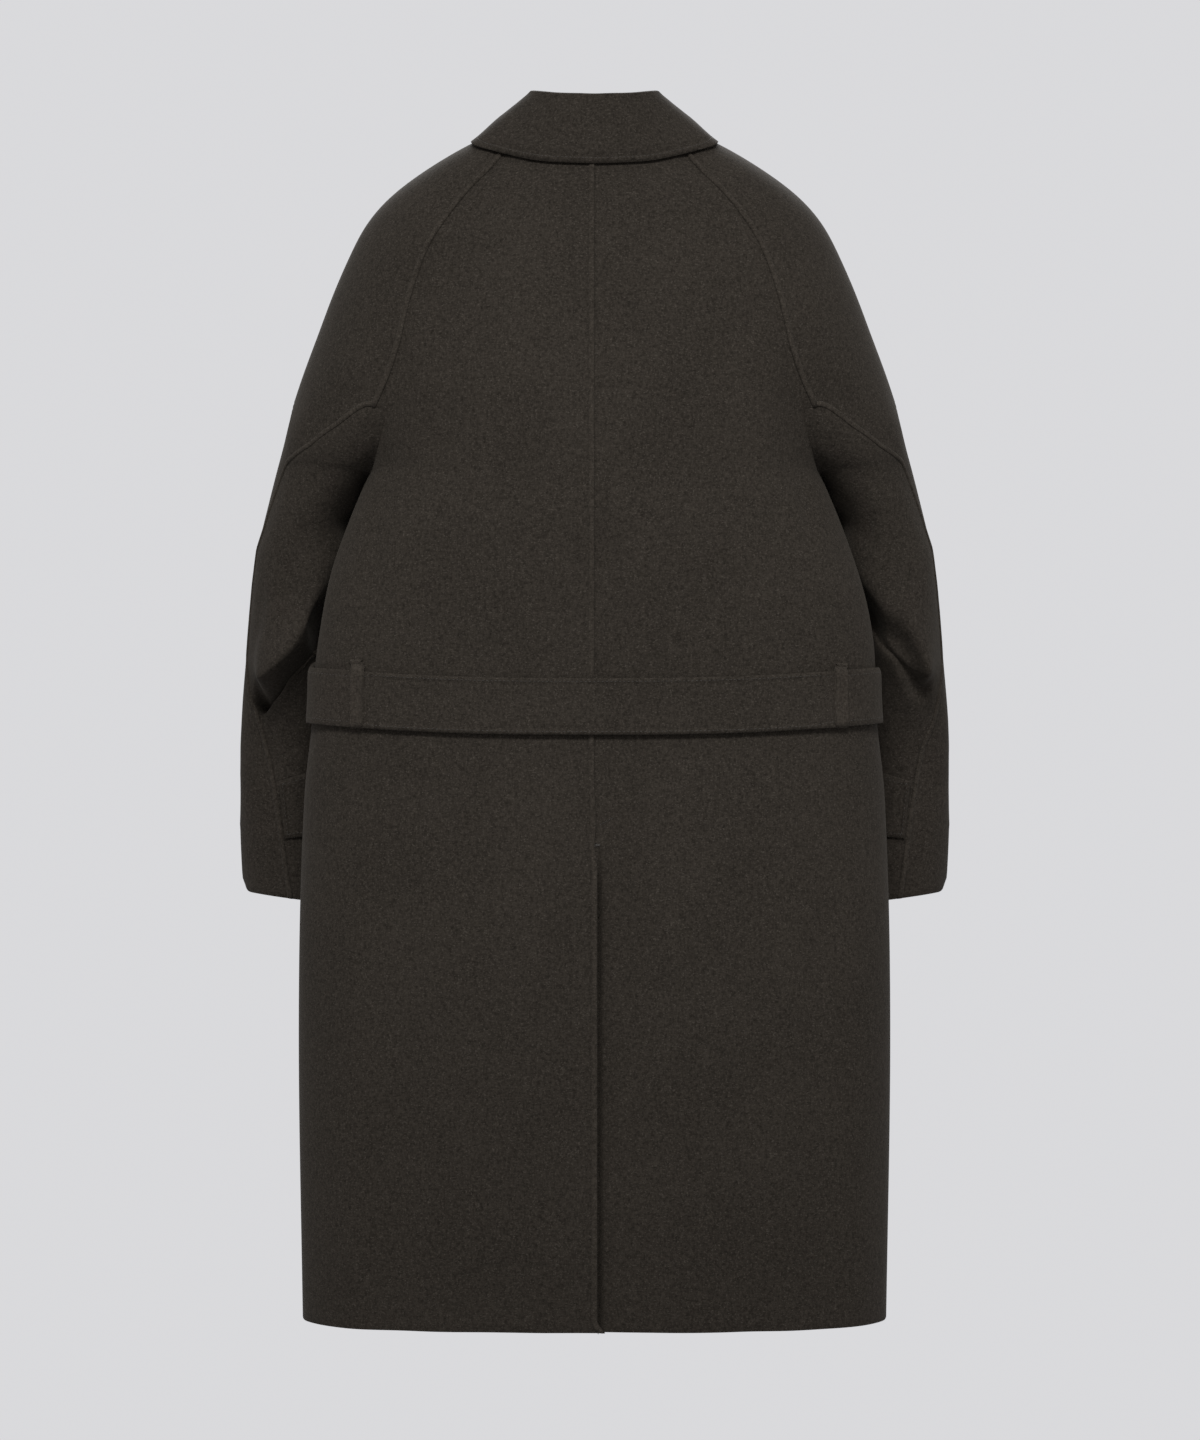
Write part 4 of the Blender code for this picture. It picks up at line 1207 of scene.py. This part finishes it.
Welt = namedtuple("Welt", "width rise row lift")
SEAM_WELT = Welt(RIDGE_WIDTH, 1.0, 0.0050, 0.0003)
HIND_WELT = Welt(0.0048, 0.75, 0.0044, 0.0003)
FRONT_WELT = Welt(0.0065, 0.7, 0.0060, 0.0002)
VENT_BAR = [Vector((-0.003, 0.135, -0.629)), Vector((-0.018, 0.135, -0.621))]
VENT_BAR_PITCH = 0.0030
VENT_BAR_LIFT = 0.0002
VENT_FOOT = -1.0735
TACK_START = Vector((0.0035, 0.138, -0.6452))
TACK_END = Vector((-0.0055, 0.138, -0.6452))
TACK_ROWS = 4
TACK_STEP = 0.0006
TACK_PITCH = 0.0014
TACK_LIFT = 0.0003
FRONT_EDGE_X = 0.045
FRONT_EDGE_TOP = -0.085


def sew_sleeve(side, welt):
    """The raglan seams and the hind seam of one sleeve."""
    arm = sleeve_of(side)
    arm_tree = tree_of(shell, arm)
    for panel, shown in (("back_" + side, arm[:1]), ("front_" + side, arm)):
        welt(max(seam_runs(panel, shown), key=len), arm_tree, SEAM_WELT)
    hind = max(seam_runs(arm[0], arm[1:]), key=lambda run: sum(p.y for p in run) / len(run))
    welt(hind, tree_of(shell, arm[:1]), HIND_WELT)


def centre_back():
    """The run down the centre back seam and on along the vent's edge."""
    centre = max(seam_runs("back_left", ["back_right"]), key=len)
    vent = open_run(
        "back_left", lambda p: p.x < VENT_SIDE_X and VENT_FOOT < p.z < VENT_TOP and p.y > 0,
    )
    for run in (centre, vent):
        if run[0].z < run[-1].z:
            run.reverse()
    return centre + vent[1:]


def sew_seams():
    ridges, rows = bmesh.new(), bmesh.new()

    def welt(run, tree, kind):
        ridge_along(ridges, run, tree, kind.width, kind.rise)
        stitches_along(rows, run, tree, kind.row, kind.lift)

    for side in SIDES:
        sew_sleeve(side, welt)
    welt(centre_back(), tree_of(shell, ["back_left"]), SEAM_WELT)
    front = open_run(
        "front_left", lambda p: p.x < FRONT_EDGE_X and p.y < 0 and p.z < FRONT_EDGE_TOP,
    )
    welt(front, tree_of(shell, ["front_left"]), FRONT_WELT)
    right_tree = tree_of(shell, ["back_right"])
    stitches_along(rows, VENT_BAR, right_tree, 0.0, VENT_BAR_LIFT, VENT_BAR_PITCH)
    for row in range(TACK_ROWS):
        down = Vector((0, 0, -row * TACK_STEP))
        tack = [TACK_START + down, TACK_END + down]
        stitches_along(rows, tack, cloth.tree, 0.0, TACK_LIFT, TACK_PITCH)
    print("seam ridges", len(ridges.faces), "faces, stitches", len(rows.faces), "faces")
    # The ridges take the wool painted lighter, a painted highlight.
    add_piece("seam_ridges", ridges, painted_highlight_wool)
    add_piece("seam_stitches", rows, thread)


sew_seams()

# %% [markdown]
# ## Stitching the trimmings
# Collar, belt, loops and tabs are turned and stitched down beside their edges. The rows lie in the
# grooves that were pressed above, and sink in a little.

# %% Trimming stitches
SHORTEST_RUN = 4
ROW_SINKS = -0.0001


def stitch_trimmings():
    rows = bmesh.new()
    for name, runs in SHEET_RUNS.items():
        tree = tree_of(SHEETS[name])
        for run in runs:
            if len(run) > SHORTEST_RUN:
                stitches_along(rows, run, tree, TRIMMINGS[name].stitched_in, ROW_SINKS)
    print("trimming stitches", len(rows.faces), "faces")
    add_piece("trimming_stitches", rows, thread)


stitch_trimmings()

# %% [markdown]
# ## Horn
# The buttons and the buckle are dark horn, half polished. Horn is layered, so it is streaked along one
# way and mottled with a lighter brown.

# %% Horn
HORN_DARK = (0.0055, 0.0038, 0.0027, 1)
HORN_LIGHT = (0.052, 0.031, 0.017, 1)
STREAK_SCALE = 420
MOTTLE_SCALE = 95
SCRATCH_SCALE = 1300
SCRATCH_DEPTH = 0.0002


def make_horn():
    material, start, shader, place = new_material("horn_dark")
    streak = start.noise(start.stretched(place, (1.0, 0.6, 0.16)), STREAK_SCALE, 4, 0.6)
    mottle = start.noise(place, MOTTLE_SCALE, 3)
    fine = start.noise(place, SCRATCH_SCALE, 2)
    mixed = (streak - 0.5) * 1.5 + (mottle - 0.5) * 1.3 + 0.45
    plug(start, shader, "Base Color", start.blend(mixed.clear_of(0.1, 1.1), HORN_DARK, HORN_LIGHT))
    plug(start, shader, "Roughness", 0.30 + mottle * 0.18 + fine * 0.08)
    sockets = {"Strength": 0.25, "Distance": SCRATCH_DEPTH, "Height": streak + fine * 0.4}
    plug(start, shader, "Normal", start.node("ShaderNodeBump", None, sockets))
    shader.inputs["Specular IOR Level"].default_value = 0.28
    return material


horn = make_horn()

# %% [markdown]
# ## Buttons
# A button is turned on a lathe, so its profile is spun. Four holes are drilled through its dished middle
# and a thread crosses them twice. The CAD gives each button's place, its size and the way it faces: its
# points spread least along its axis. Each front button also has a stitched buttonhole under it.

# %% Buttons
BUTTON_PROFILE = [
    (0.00, 0.55), (0.40, 0.55), (0.56, 0.58), (0.64, 0.72), (0.71, 0.92), (0.80, 1.00), (0.90, 0.97),
    (0.97, 0.82), (1.00, 0.58), (0.98, 0.32), (0.90, 0.10), (0.80, 0.00), (0.00, 0.00),
]
BUTTON_STEPS = 48
HOLE_OUT = 0.24
HOLE_RADIUS = 0.095
HOLE_SIDES = 16
THREAD_WIDTH = 0.0009
THREAD_HEIGHT = 0.60
SHARP_RIM = math.radians(38)


def button_frame(node):
    """Where a CAD button lies: its turn and place as a matrix, its radius and its thickness."""
    points = points_of(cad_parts[node].data)
    low, high = (np.array(corner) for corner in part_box(node))
    centre = (low + high) / 2
    _, _, ways = np.linalg.svd(points - points.mean(axis=0), full_matrices=False)
    axis = Vector(ways[2])
    on_cloth = cloth.tree.find_nearest(Vector(centre))[0]
    if axis.dot(Vector(centre) - on_cloth) < 0:
        axis = -axis
    heights = (points - centre) @ np.array(axis)
    across = np.linalg.norm(points - centre - heights[:, None] * np.array(axis), axis=1)
    base = Vector(centre) + axis * heights.min()
    turn = Vector((0, 0, 1)).rotation_difference(axis).to_matrix().to_4x4()
    return Matrix.Translation(base) @ turn, across.max(), heights.max() - heights.min()


def turned_button(radius, thick):
    bm = bmesh.new()
    verts = [bm.verts.new((r * radius, 0, h * thick)) for r, h in BUTTON_PROFILE]
    edges = [bm.edges.new(pair) for pair in zip(verts, verts[1:])]
    bmesh.ops.spin(
        bm, geom=verts + edges, cent=(0, 0, 0), axis=(0, 0, 1), angle=2 * math.pi, steps=BUTTON_STEPS,
        use_merge=True,
    )
    bmesh.ops.remove_doubles(bm, verts=bm.verts, dist=LOOSE_POINT)
    bmesh.ops.recalc_face_normals(bm, faces=bm.faces)
    return bm


def hole_places(radius):
    out = HOLE_OUT * radius
    return [Vector((x * out, y * out, 0)) for x in (-1, 1) for y in (-1, 1)]


def drill(bm, radius, thick):
    """Four holes through a button, cut by a Boolean."""
    drills = bmesh.new()
    for place in hole_places(radius):
        bmesh.ops.create_cone(
            drills, cap_ends=True, segments=HOLE_SIDES, radius1=HOLE_RADIUS * radius,
            radius2=HOLE_RADIUS * radius, depth=thick * 4, matrix=Matrix.Translation(place),
        )
    body = bpy.data.objects.new("blank", loose_mesh(bm, "blank"))
    cutter = bpy.data.objects.new("drills", loose_mesh(drills, "drills"))
    for obj in (body, cutter):
        bpy.context.scene.collection.objects.link(obj)
    cut = body.modifiers.new("holes", "BOOLEAN")
    cut.object = cutter
    made = bmesh.new()
    made.from_mesh(body.evaluated_get(bpy.context.evaluated_depsgraph_get()).to_mesh())
    for obj in (body, cutter):
        mesh = obj.data
        bpy.data.objects.remove(obj)
        bpy.data.meshes.remove(mesh)
    return made


def thread_through(total, radius, thick, where):
    """Two crossing threads on top of the holes."""
    one = stitch_mesh()
    reach = HOLE_OUT * radius * 2 ** 0.5 + HOLE_RADIUS * radius
    for turn in (45, -45):
        lay = Matrix.Translation((0, 0, thick * THREAD_HEIGHT))
        lay = lay @ Matrix.Rotation(math.radians(turn), 4, "Z")
        lay = lay @ Matrix.Rotation(math.radians(90), 4, "Y")
        lay = where @ lay @ Matrix.Diagonal((THREAD_WIDTH, THREAD_WIDTH * 1.5, reach, 1))
        one.transform(lay)
        total.from_mesh(one)
        one.transform(lay.inverted())
    bpy.data.meshes.remove(one)


BUTTONS = [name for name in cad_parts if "button" in name]
HOLE_ENDS = (-0.003, 0.027)
HOLE_ROW = 0.0008
HOLE_PITCH = 0.0015


def buttonhole(total, where, tree):
    """A slit stitched along both sides, from under a front button towards the coat's side."""
    centre = where.translation
    for row in (-HOLE_ROW, HOLE_ROW):
        ends = [centre + Vector((reach, 0, row)) for reach in HOLE_ENDS]
        stitches_along(total, ends, tree, 0.0, 0.0001, HOLE_PITCH)


def make_buttons():
    threads = bmesh.new()
    front_tree = tree_of(shell, ["front_left"])
    for node in BUTTONS:
        where, radius, thick = button_frame(node)
        bm = drill(turned_button(radius, thick), radius, thick)
        bmesh.ops.transform(bm, matrix=where, verts=bm.verts)
        piece = add_piece("horn_" + node, bm, horn)
        piece.data.set_sharp_from_angle(angle=SHARP_RIM)
        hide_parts(node)
        thread_through(threads, radius, thick, where)
        if node.startswith("front"):
            buttonhole(threads, where, front_tree)
        print(node, "radius", round(radius * 1000, 1), "mm, thick", round(thick * 1000, 1), "mm")
    add_piece("button_threads", threads, thread)


make_buttons()

# %% [markdown]
# ## Buckle
# The buckle is a plain bent frame. Its CAD shape is right, so a merged copy only gets rounded edges.

# %% Buckle
BUCKLE_ROUND = 0.0011
FLAT_ANGLE = math.radians(1)
EDGE_ANGLE = math.radians(30)
SHARP_ANGLE = math.radians(40)


def make_buckle():
    bm = bmesh.new()
    bm.from_mesh(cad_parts["belt_buckle"].data)
    bmesh.ops.remove_doubles(bm, verts=bm.verts, dist=LOOSE_POINT)
    bmesh.ops.dissolve_limit(bm, angle_limit=FLAT_ANGLE, verts=bm.verts, edges=bm.edges)
    sharp = [e for e in bm.edges if e.is_manifold and e.calc_face_angle() > EDGE_ANGLE]
    bmesh.ops.bevel(
        bm, geom=sharp, offset=BUCKLE_ROUND, offset_type="OFFSET", affect="EDGES", segments=3,
        profile=0.5, clamp_overlap=True, material=-1,
    )
    piece = add_piece("horn_belt_buckle", bm, horn)
    piece.data.set_sharp_from_angle(angle=SHARP_ANGLE)
    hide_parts("belt_buckle")
    print("buckle", len(piece.data.polygons), "faces")


make_buckle()

# %% [markdown]


# %% [markdown]
# ## Floor, light and air
# The photo was taken in even light against a plain pale ground, with the light a little stronger from
# above. The floor lies where the wearer would stand, which is below the picture. A bright even sky gives
# the soft light, and two wide lamps add the direction.

# %% Floor, lamps and sky
FLOOR_HEIGHT = -1.50
FLOOR_RADIUS = 1.6
GROUND_TONE = (0.698, 0.698, 0.716)
FLOOR_SIDES = 128
FLOOR_DARK = (0.52, 0.52, 0.53, 1)
FLOOR_LIGHT = (0.56, 0.56, 0.57, 1)
SKY_STRENGTH = 1.0
LAMP_PLACE = Vector((-0.04, 2.35, 1.57))
LAMP_TARGET = Vector((-0.12, 0.10, -0.49))
LAMP_SPREAD = math.radians(41)
LAMP_SIZE = (1.95, 0.68)
LAMP_POWER = 9.7
LAMPS = {"lamp_back": 1, "lamp_front": -1}


def make_floor():
    bm = bmesh.new()
    bmesh.ops.create_circle(bm, cap_ends=True, segments=FLOOR_SIDES, radius=FLOOR_RADIUS)
    bmesh.ops.translate(bm, verts=bm.verts, vec=(0, 0, FLOOR_HEIGHT))
    material, start, shader, place = new_material("floor_paint")
    tone = start.noise(place, 3, 2)
    plug(start, shader, "Base Color", start.blend(tone, FLOOR_DARK, FLOOR_LIGHT))
    shader.inputs["Roughness"].default_value = 0.9
    mesh = loose_mesh(bm, "floor")
    mesh.materials.append(material)
    obj = bpy.data.objects.new("floor", mesh)
    bpy.context.scene.collection.objects.link(obj)


def make_sky():
    world = bpy.data.worlds.new("studio")
    world.use_nodes = True
    back = world.node_tree.nodes["Background"]
    back.inputs["Color"].default_value = (*GROUND_TONE, 1)
    back.inputs["Strength"].default_value = SKY_STRENGTH
    bpy.context.scene.world = world


def make_lamp(name, sign):
    """A wide soft lamp. With a sign of -1 it lights the coat's front instead of its back."""
    data = bpy.data.lights.new(name, "AREA")
    data.shape = "RECTANGLE"
    data.size, data.size_y = LAMP_SIZE
    data.energy = LAMP_POWER
    data.spread = LAMP_SPREAD
    lamp = bpy.data.objects.new(name, data)
    lamp.visible_camera = False
    about = Vector((sign, sign, 1))
    lamp.location = LAMP_PLACE * about
    lamp.rotation_euler = ((LAMP_TARGET - LAMP_PLACE) * about).to_track_quat("-Z", "Y").to_euler()
    bpy.context.scene.collection.objects.link(lamp)


make_floor()
make_sky()
for name, sign in LAMPS.items():
    make_lamp(name, sign)
bpy.context.scene.view_settings.view_transform = "Standard"
print("floor at", FLOOR_HEIGHT, "m, lamps", len(LAMPS))
